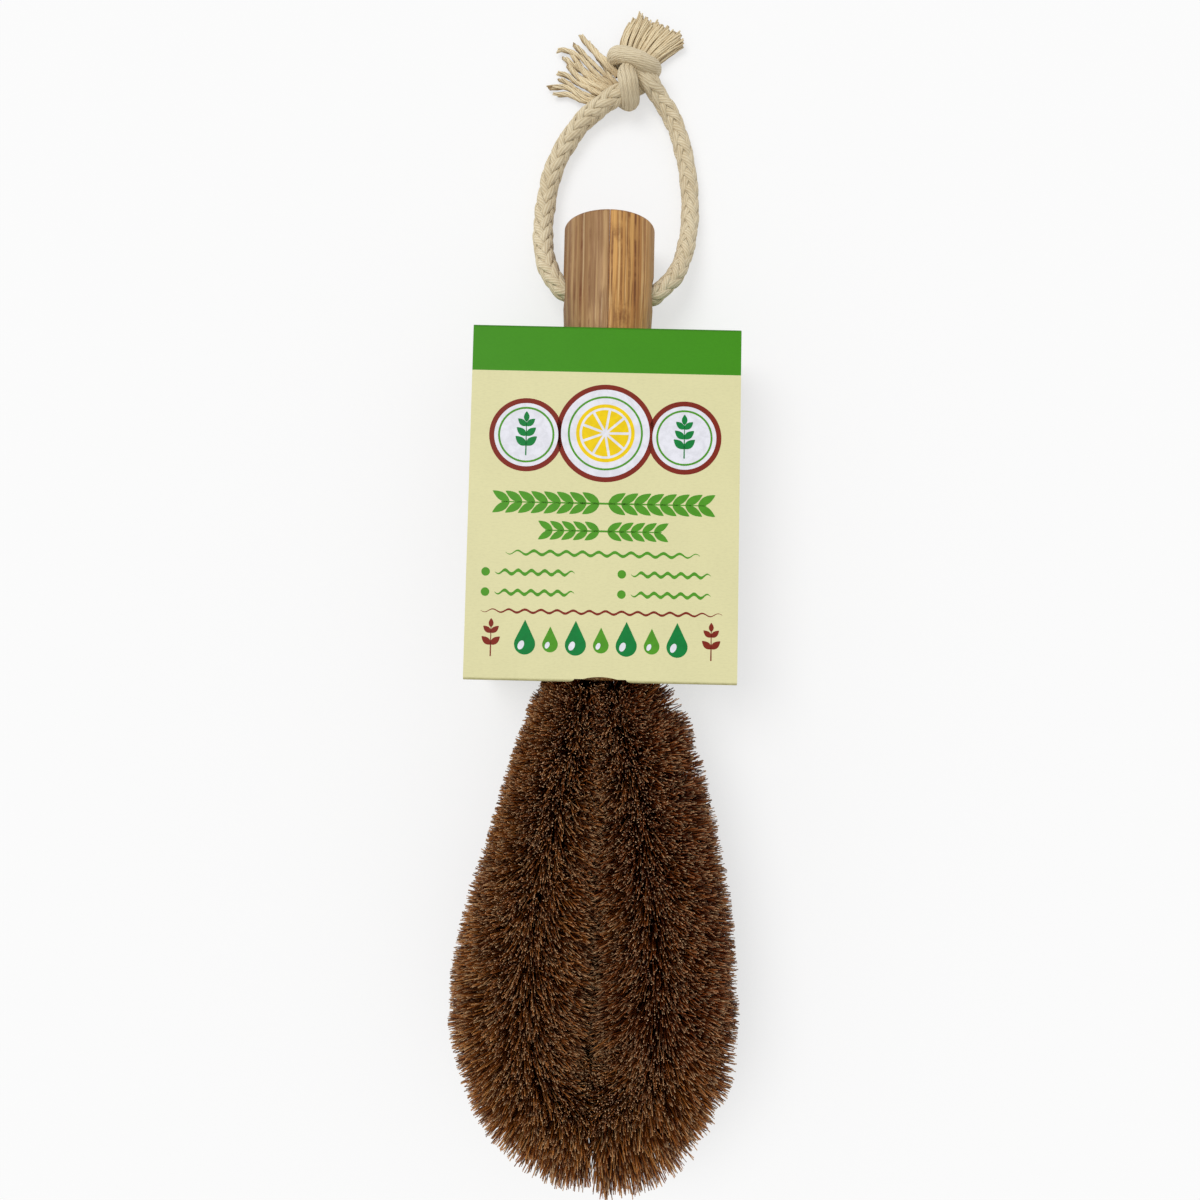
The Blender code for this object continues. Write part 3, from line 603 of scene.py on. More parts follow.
@dataclass(frozen=True)
class CardFinish:
    """Coated packing card: printed outside, bare grey board inside and along its cut edges."""

    cream: Colour = paint(221, 216, 167)
    green: Colour = paint(62, 138, 16)
    board: Colour = paint(196, 190, 172)
    edge: Colour = paint(176, 170, 152)
    fold_shade: Colour = paint(176, 172, 138)
    fold_reach: float = 0.0007

    def build(self, side: CardSide, band: FlatPoint, folds: Sequence[float]) -> Material:
        """Make the material of one side.

        Args:
            side: Which surface of the card.
            band: Where the green band starts and ends along the unrolled card.
            folds: Places of the folds along the unrolled card.

        Returns:
            The finished material.
        """
        printed = side is CardSide.PRINTED
        plain = {"Roughness": 0.45, "Specular IOR Level": 0.15} if printed else {"Roughness": 0.9}
        skin = Surface(side.value, **plain)
        flat = skin.add("ShaderNodeUVMap", uv_map="unrolled")
        paper = skin.effect(streaks, flat, Scales=(900.0, 2600.0, 1.0))
        patches = skin.effect(clouds, flat, Scale=70.0)
        if printed:
            along = skin.split(flat)[1]
            inside = (skin.math("GREATER_THAN", along, band[0])
                      * skin.math("LESS_THAN", along, band[1]))
            colour = skin.mixed(inside, self.cream, self.green)
            # Painted shade along each fold, where the card turns away from the light, broken by random
            # patches.
            fold_shade_patches = skin.effect(clouds, flat, Scale=420.0, To=0.75)
            for fold in folds:
                line = skin.ranged(abs(along - fold), 0.0, self.fold_reach, 0.8, 0.0, smooth=True)
                share = line * skin.ranged(fold_shade_patches, 0.0, 1.0, 0.6, 1.0)
                colour = skin.mixed(share, colour, self.fold_shade, "MULTIPLY")
        else:
            specks = skin.effect(grit, flat, Scale=1100.0, Reach=0.3)
            first = self.board if side is CardSide.INSIDE else self.edge
            colour = skin.mixed(specks * 0.3, first, self.edge)
        tone = skin.ranged(paper, 0.0, 1.0, 1.015, 0.97) * skin.ranged(patches, 0.0, 1.0, 0.985, 1.01)
        skin.bump(paper, 0.00002, 0.35)
        return skin.finish(skin.toned(colour, tone))


class InkColour(Enum):
    """Inks of the generic print."""

    RIM = paint(124, 36, 20)
    GREEN = paint(78, 148, 34)
    DEEP_GREEN = paint(6, 122, 54)
    WHITE = paint(228, 228, 236)
    YELLOW = paint(238, 204, 6)


@dataclass(frozen=True)
class InkFinish:
    """Printing ink with a slightly uneven tone."""

    ink: InkColour

    def build(self) -> Material:
        """Make the material."""
        skin = Surface(f"ink_{self.ink.name.lower()}", Roughness=0.42, Specular_IOR_Level=0.15)
        place = skin.place()
        patches = skin.effect(clouds, place, Scale=500.0)
        specks = skin.effect(grit, place, Scale=5200.0, Reach=0.3)
        tone = skin.ranged(patches, 0.0, 1.0, 0.93, 1.05) - specks * 0.06
        return skin.finish(skin.toned(self.ink.value, tone), skin.between(patches, 0.38, 0.48))


@dataclass(frozen=True)
class CottonFinish:
    """Undyed cotton: soft, matt, with the fine twist of its yarn."""

    name: str
    light: Colour = paint(229, 215, 184)
    shade: Colour = paint(172, 146, 102)
    # Colour of the painted shade on low fibres of a lock and near its root.
    deep: Colour = paint(128, 98, 58)
    plies: int = 7
    ply_pitch: float = 0.0032
    bump_depth: float = 0.00012

    def build(self) -> Material:
        """Make the material.

        The attribute "lay" holds the turn round a yarn and the way along it, and "deep" the share of
        painted shade on a fibre: more the lower it lies in its lock and near the lock's root.
        """
        skin = Surface(self.name, Roughness=0.92, Sheen_Weight=0.15, Sheen_Roughness=0.5,
                       Specular_IOR_Level=0.2)
        place = skin.place()
        cosine, sine, along = skin.split(skin.attribute("lay", "Vector"))
        turn = skin.math("ARCTAN2", sine, cosine) * float(self.plies)
        fuzz = skin.noise(place, 2600.0, 3.0, 0.6)
        run = along * (math.tau / self.ply_pitch * self.plies / 4)
        wave = skin.math("SINE", turn + run + fuzz * 3.0)
        groove = skin.ranged(wave, -1.0, 0.4, 1.0, 0.0)
        tone = groove * 0.38 + skin.effect(clouds, place, Scale=260.0) * 0.22
        # Painted shade: the twist's grooves take the shade colour, mixed with random patches, and low
        # fibres the deep colour.
        colour = skin.layered(self.light, (tone, self.shade),
                              (skin.attribute("deep") * 0.75, self.deep))
        skin.bump(wave * 0.5 + fuzz, self.bump_depth, 0.7)
        return skin.finish(colour)


class GeometryRecipe(NodeTree):
    """A Geometry Nodes tree with named inputs, and the way to turn its result into a plain mesh."""

    KINDS = {
        float: "NodeSocketFloat", int: "NodeSocketInt", tuple: "NodeSocketVector",
        Material: "NodeSocketMaterial",
    }

    def __init__(self, name: str, values: dict[str, Any]) -> None:
        """Start the tree.

        Args:
            name: The tree's name.
            values: The named inputs and what they are for this brush.
        """
        super().__init__(bpy.data.node_groups.new(name, "GeometryNodeTree"))
        self.values = values
        face = self.tree.interface
        for way in ("INPUT", "OUTPUT"):
            face.new_socket("Geometry", in_out=way, socket_type="NodeSocketGeometry")
        for label, value in values.items():
            face.new_socket(label, in_out="INPUT", socket_type=self.KINDS[type(value)])
        self.start = self.node("NodeGroupInput")
        self.end = self.node("NodeGroupOutput")

    def __getitem__(self, label: str) -> Value:
        """The value of a named input."""
        return Value(self, self.start.outputs[label])

    def curve(self) -> Value:
        """The lines that are drawn in the script, as curves."""
        return self.add("GeometryNodeMeshToCurve", {0: self["Geometry"]})

    def attribute(self, name: str, kind: str = "FLOAT_VECTOR") -> Value:
        """An attribute of the points that are drawn in the script."""
        return self.add("GeometryNodeInputNamedAttribute", {0: name}, data_type=kind)

    def store(self, geometry: Value, name: str, value: Value, kind: str = "FLOAT",
              domain: str = "POINT") -> Value:
        """The geometry with a value kept on it under a name."""
        inputs = {0: geometry, 2: name, 3: value}
        return self.add("GeometryNodeStoreNamedAttribute", inputs, data_type=kind, domain=domain)

    def moved(self, geometry: Value, offset: Value) -> Value:
        """The geometry with its points moved by an offset."""
        return self.add("GeometryNodeSetPosition", {0: geometry, 3: offset})

    def placed(self, geometry: Value, position: Value) -> Value:
        """The geometry with its points at new places."""
        return self.add("GeometryNodeSetPosition", {0: geometry, 2: position})

    def position(self) -> Value:
        """Each point's place."""
        return self.add("GeometryNodeInputPosition")

    def share(self) -> Value:
        """How far along its curve a point is."""
        return self.add("GeometryNodeSplineParameter")

    def turned(self, side: Value, rise: Value, angle: Value) -> Value:
        """The direction at an angle from one direction towards another."""
        return side * self.math("COSINE", angle) + rise * self.math("SINE", angle)

    def circle(self, sides: Any, radius: Any) -> Value:
        """A round profile."""
        return self.add("GeometryNodeCurvePrimitiveCircle", {0: sides, 4: radius})

    def tube(self, curve: Value, profile: Value, **more: Any) -> Value:
        """A profile drawn along a curve, with closed ends."""
        inputs = {"Curve": curve, "Profile Curve": profile, "Fill Caps": True, **more}
        return self.add("GeometryNodeCurveToMesh", inputs)

    def finish(self, geometry: Value) -> "GeometryRecipe":
        """End the tree in Realize Instances and Set Material."""
        real = self.add("GeometryNodeRealizeInstances", {0: geometry})
        smooth = self.add("GeometryNodeSetShadeSmooth", {0: real})
        dressed = self.add("GeometryNodeSetMaterial", {0: smooth, 2: self["Material"]})
        self.put(self.end.inputs[0], dressed)
        return self

    def bake(self, name: str, base: Mesh, **changed: Any) -> Piece:
        """Run the tree on a mesh and keep the result as a plain mesh.

        Args:
            name: The new object's name.
            base: The mesh that the tree starts from.
            **changed: Inputs that differ for this piece, with underscores for spaces.

        Returns:
            The object, without a modifier.
        """
        piece = link_object(name, base)
        modifier = piece.modifiers.new(self.tree.name, "NODES")
        modifier.node_group = self.tree
        values = dict(self.values)
        values.update({label.replace("_", " "): value for label, value in changed.items()})
        for item in self.tree.interface.items_tree:
            if item.in_out == "INPUT" and item.name in values:
                modifier[item.identifier] = values[item.name]
        return apply_modifiers(piece)


def link_object(name: str, mesh: Mesh) -> Piece:
    """A new object of the scene."""
    piece = bpy.data.objects.new(name, mesh)
    bpy.context.scene.collection.objects.link(piece)
    return piece


def apply_modifiers(piece: Piece) -> Piece:
    """Replace an object's mesh by what its modifiers make of it, and remove them."""
    depsgraph = bpy.context.evaluated_depsgraph_get()
    mesh = bpy.data.meshes.new_from_object(piece.evaluated_get(depsgraph), depsgraph=depsgraph)
    mesh.name = piece.name
    piece.modifiers.clear()
    piece.data = mesh
    return piece


def line_mesh(name: str, lines: Sequence[Sequence[Vector]],
              attributes: dict[str, Sequence[Any]]) -> Mesh:
    """Open lines as a mesh of edges.

    Args:
        name: The mesh's name.
        lines: Points of each line.
        attributes: Numbers or vectors by name, one for each point in the order of the lines.

    Returns:
        The mesh, with the attributes on its points.
    """
    points = [point for line in lines for point in line]
    edges = []
    first = 0
    for line in lines:
        edges += [(first + index, first + index + 1) for index in range(len(line) - 1)]
        first += len(line)
    mesh = bpy.data.meshes.new(name)
    mesh.from_pydata(points, edges, [])
    for label, values in attributes.items():
        plain = isinstance(values[0], (int, float))
        numbers = values if plain else [part for value in values for part in value]
        layer = mesh.attributes.new(label, "FLOAT" if plain else "FLOAT_VECTOR", "POINT")
        layer.data.foreach_set("value" if plain else "vector", [float(number) for number in numbers])
    return mesh


def turned_mesh(profile: Sequence[FlatPoint], sides: int) -> Shape:
    """Closed shape turned about Y from (radius, along) points that start and end on the axis."""
    shape = bmesh.new()
    corners = [shape.verts.new((radius, along, 0)) for radius, along in profile]
    edges = [shape.edges.new(pair) for pair in zip(corners, corners[1:])]
    bmesh.ops.spin(shape, geom=corners + edges, cent=(0, 0, 0), axis=(0, 1, 0), angle=math.tau,
                   steps=sides, use_merge=True)
    bmesh.ops.remove_doubles(shape, verts=shape.verts, dist=1e-6)
    bmesh.ops.recalc_face_normals(shape, faces=shape.faces)
    return shape


def mesh_piece(name: str, shape: Shape, turn: Matrix | None = None) -> Piece:
    """An object from a bmesh, moved by a matrix in its mesh."""
    mesh = bpy.data.meshes.new(name)
    shape.to_mesh(mesh)
    shape.free()
    if turn is not None:
        mesh.transform(turn)
    return link_object(name, mesh)


def drum(name: str, radius: float, first: float, last: float, sides: int,
         turn: Matrix | None = None) -> Piece:
    """A round drum along Y between two places, moved by a matrix."""
    profile = ((0, first), (radius, first), (radius, last), (0, last))
    return mesh_piece(name, turned_mesh(profile, sides), turn)


def subtract(piece: Piece, cutters: Sequence[Piece]) -> None:
    """Take cutters away from a piece, one Boolean each, and remove them."""
    for cutter in cutters:
        modifier = piece.modifiers.new(cutter.name, "BOOLEAN")
        modifier.operation = "DIFFERENCE"
        modifier.solver = "EXACT"
        modifier.object = cutter
    apply_modifiers(piece)
    for cutter in cutters:
        bpy.data.objects.remove(cutter, do_unlink=True)


def shade_round(piece: Piece, degrees: float) -> None:
    """Shade a piece smooth, apart from edges sharper than an angle."""
    piece.data.shade_smooth()
    piece.data.set_sharp_from_angle(angle=math.radians(degrees))


def register(piece: Piece, body: str, slot: str, *nodes: str) -> None:
    """Let a piece ride on a body in place of CAD nodes, and report it.

    Args:
        piece: The finished piece.
        body: The body that carries it.
        slot: The record's finish. Not used.
        *nodes: The CAD nodes that it stands for.
    """
    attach(piece, body)
    if nodes:
        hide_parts(*nodes)
    piece.data.calc_loop_triangles()
    LOG.info("%s: %d triangles on %s", piece.name, len(piece.data.loop_triangles), body)


@dataclass(frozen=True)
class LoopPath:
    """Middle line of the wire pair, in the brush's own frame."""

    stem_half_gap: float = 0.0036
    stem_depth: float = 0.029
    neck_straight: float = 0.0015
    neck_bend_radius: float = 0.030
    loop_length: float = 0.112
    loop_half_width: float = 0.0175

    @property
    def bends(self) -> tuple[FlatPoint, ...]:
        """Length and curvature of each bend from the neck to the far end."""
        straight = self.loop_length - self.loop_half_width - self.neck_straight
        angle = 2 * math.atan((self.loop_half_width - self.stem_half_gap) / straight)
        side_radius = straight / math.sin(angle) - self.neck_bend_radius
        return (
            (self.neck_bend_radius * angle, 1 / self.neck_bend_radius),
            (side_radius * angle, -1 / side_radius),
            (self.loop_half_width * math.pi / 2, -1 / self.loop_half_width),
        )

    @property
    def branch_length(self) -> float:
        """Length from the handle's lower end to the middle of the far bend."""
        return self.neck_straight + sum(length for length, _ in self.bends)

    def point(self, side: int, distance: float) -> tuple[Vector, Vector, Vector]:
        """Place on the line.

        Args:
            side: -1 for the left branch and 1 for the right one.
            distance: Way along the branch from the handle's lower end, negative inside it.

        Returns:
            The place, the direction away from the loop's inside and the direction of travel.
        """
        across = self.stem_half_gap
        along = -min(distance, self.neck_straight)
        heading = 0.0
        left = distance - self.neck_straight
        for length, curvature in self.bends:
            run = min(length, left)
            if run <= 0:
                break
            turned_to = heading + run * curvature
            across += (math.cos(heading) - math.cos(turned_to)) / curvature
            along -= (math.sin(turned_to) - math.sin(heading)) / curvature
            heading = turned_to
            left -= run
        outward = Vector((side * math.cos(heading), math.sin(heading), 0))
        travel = Vector((side * math.sin(heading), -math.cos(heading), 0))
        return Vector((side * across, along, 0)), outward, travel


@dataclass
class TurnedHandle:
    """Handle turned from two glued staves, with its cross hole and two wire sockets."""

    place: BrushFrame
    path: LoopPath
    length: float = 0.1245
    end_radius: float = 0.0125
    neck_radius: float = 0.0110
    parallel_length: float = 0.020
    flare_power: int = 4
    edge_round: float = 0.001
    edge_steps: int = 6
    seam_gap: float = 0.00005
    seam_round: float = 0.00012
    seam_angle: float = 50.0
    hole_radius: float = 0.0030
    mouth_widening: float = 0.0020
    mouth_depth: float = 0.0025
    mouth_steps: int = 8
    mouth_power: float = 1.6
    socket_radius: float = 0.00215
    socket_depth: float = 0.030
    cutter_reach: float = 0.003
    sides: int = 144
    hole_sides: int = 48
    socket_sides: int = 32
    profile_steps: int = 36

    def radius(self, along: float) -> float:
        """Radius at a distance from the lower end."""
        share = min(1.0, max(0.0, along / (self.length - self.parallel_length)))
        return blend(self.neck_radius, self.end_radius, share ** self.flare_power)

    def profile(self) -> list[FlatPoint]:
        """Half outline with rounded rims."""
        steps = self.edge_steps
        turns = [math.pi / 2 * step / steps for step in range(steps + 1)]
        rims = [(self.edge_round * (1 - math.sin(turn)), self.edge_round * (1 - math.cos(turn)))
                for turn in turns]
        points = [(0.0, 0.0)] + [(self.radius(0) - inset, rise) for inset, rise in rims]
        for step in range(1, self.profile_steps + 1):
            along = blend(self.edge_round, self.length - self.edge_round, step / self.profile_steps)
            points.append((self.radius(along), along))
        points += [(self.end_radius - inset, self.length - rise) for rise, inset in rims[1:]]
        return points + [(0.0, self.length)]

    def hole_cutter(self) -> Piece:
        """Cross hole whose mouths open in a soft curve."""
        reach = self.end_radius + self.cutter_reach
        stations = []
        for step in range(self.mouth_steps + 1):
            share = step / self.mouth_steps
            widening = self.mouth_widening * share ** self.mouth_power
            along = self.end_radius - self.mouth_depth + self.mouth_depth * share
            stations.append((self.hole_radius + widening, along))
        stations.append((self.hole_radius + self.mouth_widening * 2.2, reach))
        lower = [(radius, -along) for radius, along in reversed(stations)]
        points = [(0.0, -reach)] + lower + stations + [(0.0, reach)]
        turn = Matrix.Translation((0, self.place.hole_along, 0)) @ Matrix.Rotation(math.pi / 2, 4, "Z")
        return mesh_piece("cross_hole_cutter", turned_mesh(points, self.hole_sides), turn)

    def socket_cutter(self, side: int) -> Piece:
        """Blind socket of one wire stem."""
        turn = Matrix.Translation((side * self.path.stem_half_gap, 0, 0))
        return drum("socket_cutter", self.socket_radius, -self.cutter_reach, self.socket_depth,
                    self.socket_sides, turn)

    def stave(self, side: int, word: str) -> Piece:
        """One glued half in the shared frame.

        Args:
            side: -1 for the left half and 1 for the right one.
            word: The half's word in the part's names.

        Returns:
            The half, cut along the seam, with its hole and its socket.
        """
        shape = turned_mesh(self.profile(), self.sides)
        geometry = list(shape.verts) + list(shape.edges) + list(shape.faces)
        result = bmesh.ops.bisect_plane(shape, geom=geometry, dist=1e-7, clear_inner=True,
                                        plane_co=(side * self.seam_gap / 2, 0, 0),
                                        plane_no=(side, 0, 0))
        rim = [item for item in result["geom_cut"] if isinstance(item, bmesh.types.BMEdge)]
        bmesh.ops.holes_fill(shape, edges=rim, sides=0)
        bmesh.ops.recalc_face_normals(shape, faces=shape.faces)
        sharp = math.radians(self.seam_angle)
        soft = [edge for edge in shape.edges if edge.calc_face_angle(0) > sharp]
        bmesh.ops.bevel(shape, geom=soft, offset=self.seam_round, segments=2, profile=0.5,
                        affect="EDGES")
        piece = mesh_piece(f"stave_{word}", shape)
        subtract(piece, (self.hole_cutter(), self.socket_cutter(side)))
        piece.data.transform(self.place.matrix())
        shade_round(piece, 38)
        return piece

    def build(self) -> None:
        """Make and dress both halves."""
        for side, word, kind in ((-1, "left", WoodKind.PALE), (1, "right", WoodKind.WARM)):
            piece = self.stave(side, word)
            slot = f"wood_{kind.name.lower()}"
            piece.data.materials.clear()
            piece.data.materials.append(WoodFinish(slot, kind, self.length).build(self.place))
            register(piece, "handle", slot, f"handle_stave_{word}")


@dataclass
class TwistedWire:
    """Pair of wires, twisted together and bent into one long loop."""

    place: BrushFrame
    path: LoopPath
    wire_radius: float = 0.00082
    helix_radius: float = 0.00100
    pitch: float = 0.010
    points_per_turn: int = 16
    wire_sides: int = 12

    def base(self) -> Mesh:
        """Middle line of the pair from the left stem to the right one."""
        half = self.path.stem_depth + self.path.branch_length
        count = round(2 * half / self.pitch * self.points_per_turn)
        travels = [2 * half * index / count for index in range(count + 1)]
        points, outwards = [], []
        for travelled in travels:
            side = -1 if travelled < half else 1
            distance = min(travelled, 2 * half - travelled) - self.path.stem_depth
            point, outward, _ = self.path.point(side, distance)
            points.append(point)
            outwards.append(outward)
        return line_mesh("wire_line", [points], {"outward": outwards, "travelled": travels})

    def tree(self, material: Material) -> GeometryRecipe:
        """Tree that winds a wire round the line."""
        tree = GeometryRecipe("twisted_wires", {
            "Wire Radius": self.wire_radius, "Helix Radius": self.helix_radius,
            "Pitch": self.pitch, "Phase": 0.0, "Sides": self.wire_sides, "Material": material,
        })
        turns = tree.attribute("travelled", "FLOAT") / tree["Pitch"]
        angle = turns * math.tau + tree["Phase"]
        side = tree.attribute("outward") * tree.math("COSINE", angle)
        rise = tree.join(up=tree.math("SINE", angle))
        wound = tree.moved(tree.curve(), (side + rise) * tree["Helix Radius"])
        circle = tree.circle(tree["Sides"], tree["Wire Radius"])
        return tree.finish(tree.tube(wound, circle))

    def build(self) -> None:
        """Make and dress both wires."""
        tree = self.tree(WireFinish().build())
        for word, phase in (("a", 0.0), ("b", math.pi)):
            piece = tree.bake(f"wire_{word}", self.base(), Phase=phase)
            piece.data.transform(self.place.matrix())
            register(piece, "handle", "galvanised_wire", f"wire_strand_{word}")


@dataclass
class BristleHead:
    """Plant-fibre head, held between the twisted wires and cut to shape, in slices.

    A reach table holds (share of the branch, reach to the side). A notch is its place along the
    brush, half its width and how much of the fibres' reach it takes.
    """

    place: BrushFrame
    path: LoopPath
    head_gap: float = 0.0005
    slices: int = 6
    line_points: int = 32
    fibres: int = 5400
    fibre_points: int = 4
    fibre_sides: int = 3
    fibre_taper: float = 0.85
    neck_radius: float = 0.013
    fan_radius: float = 0.018
    full_radius: float = 0.021
    fan_length: float = 0.014
    swell_length: float = 0.075
    middle_clearance: float = 0.0004
    crowd_radius: float = 0.0035
    root: float = 0.0012
    thickness: float = 0.00034
    shortest: float = 0.0005
    twist_pitch: float = 0.010
    spread: float = 1.45
    bend: float = 5.2
    stray: float = 0.27
    tuft: float = 0.55
    hollow: float = 0.15
    least_slope: float = 0.02
    floor_clearance: float = 0.0010
    neck_lean: float = 0.34
    neck_lean_length: float = 0.014
    left_reach: tuple[FlatPoint, ...] = (
        (0.00, 0.0120), (0.08, 0.0143), (0.20, 0.0149), (0.38, 0.0160), (0.50, 0.0185),
        (0.64, 0.0207), (0.74, 0.0206), (0.80, 0.0187), (0.92, 0.0188), (1.00, 0.0215),
    )
    right_reach: tuple[FlatPoint, ...] = (
        (0.00, 0.0128), (0.06, 0.0126), (0.09, 0.0168), (0.13, 0.0187), (0.30, 0.0197),
        (0.50, 0.0206), (0.70, 0.0213), (0.84, 0.0209), (0.94, 0.0234), (1.00, 0.0222),
    )
    notches: tuple[tuple[float, float, float], ...] = (
        (-0.0072, 0.0017, 0.20), (-0.0246, 0.0009, 0.34), (-0.0362, 0.0007, 0.20),
    )
    notch_start: float = 0.013

    def upright_reach(self, distance: float) -> float:
        """Reach of the fibres straight up, at a distance along the pair."""
        fanned = blend(self.neck_radius, self.fan_radius, ease(distance / self.fan_length))
        swell = ease(distance / self.swell_length)
        return fanned + (self.full_radius - self.fan_radius) * swell

    def base(self, side: int, number: int) -> Mesh:
        """Line of one slice with what its fibres need to know.

        Args:
            side: -1 for the left branch and 1 for the right one.
            number: The slice, counted from 1 at the neck.

        Returns:
            The line, with its directions, its reaches and its growth on each point.
        """
        length = self.path.branch_length
        pitch = (length - self.head_gap) / self.slices
        start = self.head_gap + (number - 1) * pitch
        table = self.left_reach if side < 0 else self.right_reach
        bend_start = -(self.path.loop_length - self.path.loop_half_width)
        rows = []
        for index in range(self.line_points):
            distance = start + pitch * index / (self.line_points - 1)
            point, outward, travel = self.path.point(side, distance)
            room = max(abs(point.x) - self.middle_clearance, 0.0)
            reaches = (self.upright_reach(distance), table_value(table, distance / length), room)
            inner = self.path.loop_half_width - self.crowd_radius if point.y < bend_start else 1.0
            lean = self.neck_lean * (1 - ease(distance / self.neck_lean_length))
            rows.append((point, outward, travel, reaches, (distance, lean, inner)))
        points, *columns = zip(*rows)
        names = ("outward", "travel", "reaches", "growth")
        return line_mesh("slice_line", [points], dict(zip(names, columns)))

    def fibre(self, tree: GeometryRecipe) -> Value:
        """One slightly bent, tapered fibre of unit length and width along Z."""
        line = tree.add("GeometryNodeCurvePrimitiveLine", {1: (0.0, 0.0, 1.0)})
        stepped = tree.add("GeometryNodeResampleCurve", {0: line, "Count": self.fibre_points})
        taper = tree.ranged(tree.share(), 0.0, 1.0, 1.0, self.fibre_taper)
        tube = tree.tube(stepped, tree.circle(self.fibre_sides, 0.5), Scale=taper)
        height = tree.split(tree.position())[2]
        kept = tree.store(tube, "along", height)
        return tree.moved(kept, tree.join(height ** 2.0 * tree["Bend"]))

    def tree(self, material: Material) -> GeometryRecipe:
        """Tree that grows the fibres of one slice.

        Each fibre starts at a random place on the line, turns with the twist, leans and strays
        from its spoke, and is cut where the trimmed outline, the loop's middle or the table ends it.

        Args:
            material: The fibres' finish.

        Returns:
            The finished tree.
        """
        up = Vector((0, 0, 1)) @ self.place.matrix().to_3x3()
        tree = GeometryRecipe("bristle_slice", {
            "Fibres": self.fibres, "Seed": 0, "Side": 1.0, "Root": self.root,
            "Thickness": self.thickness, "Twist Pitch": self.twist_pitch, "Spread": self.spread,
            "Bend": self.bend, "Stray": self.stray, "Tuft": self.tuft, "Hollow": self.hollow,
            "Floor Normal": tuple(up), "Floor Height": self.place.origin.z,
            "Floor Clearance": self.floor_clearance, "Material": material,
        })

        def seeded(number: int) -> Value:
            """A random share for each fibre, from the slice's seed and a number of its own."""
            inputs = {2: 0.0, 3: 1.0, 8: tree["Seed"] + float(number * 1000)}
            return tree.add("FunctionNodeRandomValue", inputs, 1, data_type="FLOAT")

        def sampled(name: str, output: int = 0) -> Value:
            """An attribute at the fibre's place on the line, or that place itself as output 1."""
            inputs = {0: curve, 1: tree.attribute(name), 2: share}
            return tree.add("GeometryNodeSampleCurve", inputs, output, data_type="FLOAT_VECTOR",
                            mode="FACTOR")

        def at_least(value: Value, least: float) -> Value:
            """A value, or the least that it may be."""
            return tree.math("MAXIMUM", value, least)

        curve = tree.curve()
        share = seeded(0)
        outward, middle, travel = sampled("outward"), sampled("outward", 1), sampled("travel")
        upright, beside, room = tree.split(sampled("reaches"))
        distance, lean, inner = tree.split(sampled("growth"))

        flip = tree.math("ROUND", seeded(1)) * math.pi
        twist = distance / tree["Twist Pitch"] * math.tau
        angle = flip + twist + (seeded(2) - 0.5) * (tree["Spread"] * 2.0)
        cosine = tree.math("COSINE", angle)
        spoke = outward * cosine + tree.join(up=tree.math("SINE", angle))

        wide = tree.math("MULTIPLY_ADD", seeded(3), 2.0, -1.0)
        tail = tree.math("MULTIPLY_ADD", wide * wide, 1.7, 0.5)
        turned = tree.ranged(seeded(9), 0.0, 0.45, -0.5, 1.0)
        slope = tree.math("MULTIPLY_ADD", lean, turned, wide * tail * tree["Stray"])
        tuft = tree.drift(middle * 95.0 + spoke * 2.4, 2.0, 0.5) * tree["Tuft"]
        arm = tree.math("NORMALIZE", spoke + travel * slope + tuft)

        reach = tree.between(at_least(cosine, 0.0) ** 2.0, upright, beside)
        reach = reach * tree.ranged(seeded(4) ** 3.0, 0.0, 1.0, 1.0, 0.88)
        lumps = tree.noise(middle * 210.0 + spoke * 1.9, 1.0, 1.0)
        hollow = tree.ranged(lumps, 0.32, 0.56, 1.0, 0.0)
        reach = reach * (1.025 - hollow * tree["Hollow"])
        inward = tree.split(arm)[0] * (tree["Side"] * -1.0)
        ragged = tree.ranged(seeded(5), 0.0, 1.0, 0.92, 1.30)
        to_middle = room / at_least(inward, self.least_slope) * ragged
        to_crowd = inner / at_least(cosine * -1.0, self.least_slope)
        normal = tree["Floor Normal"]
        height = tree["Floor Height"] + tree.math("DOT_PRODUCT", normal, middle)
        down = tree.math("DOT_PRODUCT", normal, arm) * -1.0
        to_floor = (height - tree["Floor Clearance"]) / at_least(down, self.least_slope)
        for limit in (to_middle, to_crowd, to_floor):
            reach = tree.math("MINIMUM", reach, limit)
        tip_x, tip_y, _ = tree.split(middle + arm * reach)
        outside = tree.math("GREATER_THAN", tip_x, self.notch_start)
        for along, half_width, depth in self.notches:
            away = abs(tip_y - along)
            parted = tree.ranged(away, half_width * 0.6, half_width * 1.5, depth, 0.0)
            reach = reach * (1.0 - parted * outside)

        place = middle + arm * tree["Root"]
        points = tree.add("GeometryNodePoints", {0: tree["Fibres"], 1: place})
        width = tree["Thickness"] * tree.ranged(seeded(6), 0.0, 1.0, 0.7, 1.2)
        scale = tree.join(width, width, at_least(reach - tree["Root"], self.shortest))
        spin = tree.join(up=seeded(7) * math.tau)
        spun = tree.add("FunctionNodeEulerToRotation", {0: spin})
        aimed = tree.add("FunctionNodeAlignRotationToVector", {0: spun, 2: arm}, axis="Z")
        grown = tree.add("GeometryNodeInstanceOnPoints", {
            0: points, 2: self.fibre(tree), 5: aimed, 6: scale,
        })
        return tree.finish(tree.store(grown, "tint", seeded(8), domain="INSTANCE"))

    def build(self) -> None:
        """Grow and dress every slice."""
        tree = self.tree(FibreFinish().build())
        for side, word in ((-1, "left"), (1, "right")):
            for number in range(1, self.slices + 1):
                seed = 20 * number + (7 if side > 0 else 0)
                piece = tree.bake(f"fibres_{word}_{number}", self.base(side, number),
                                  Seed=seed, Side=float(side))
                piece.data.transform(self.place.matrix())
                register(piece, "handle", "palm_fibre", f"bristles_{word}_{number}")


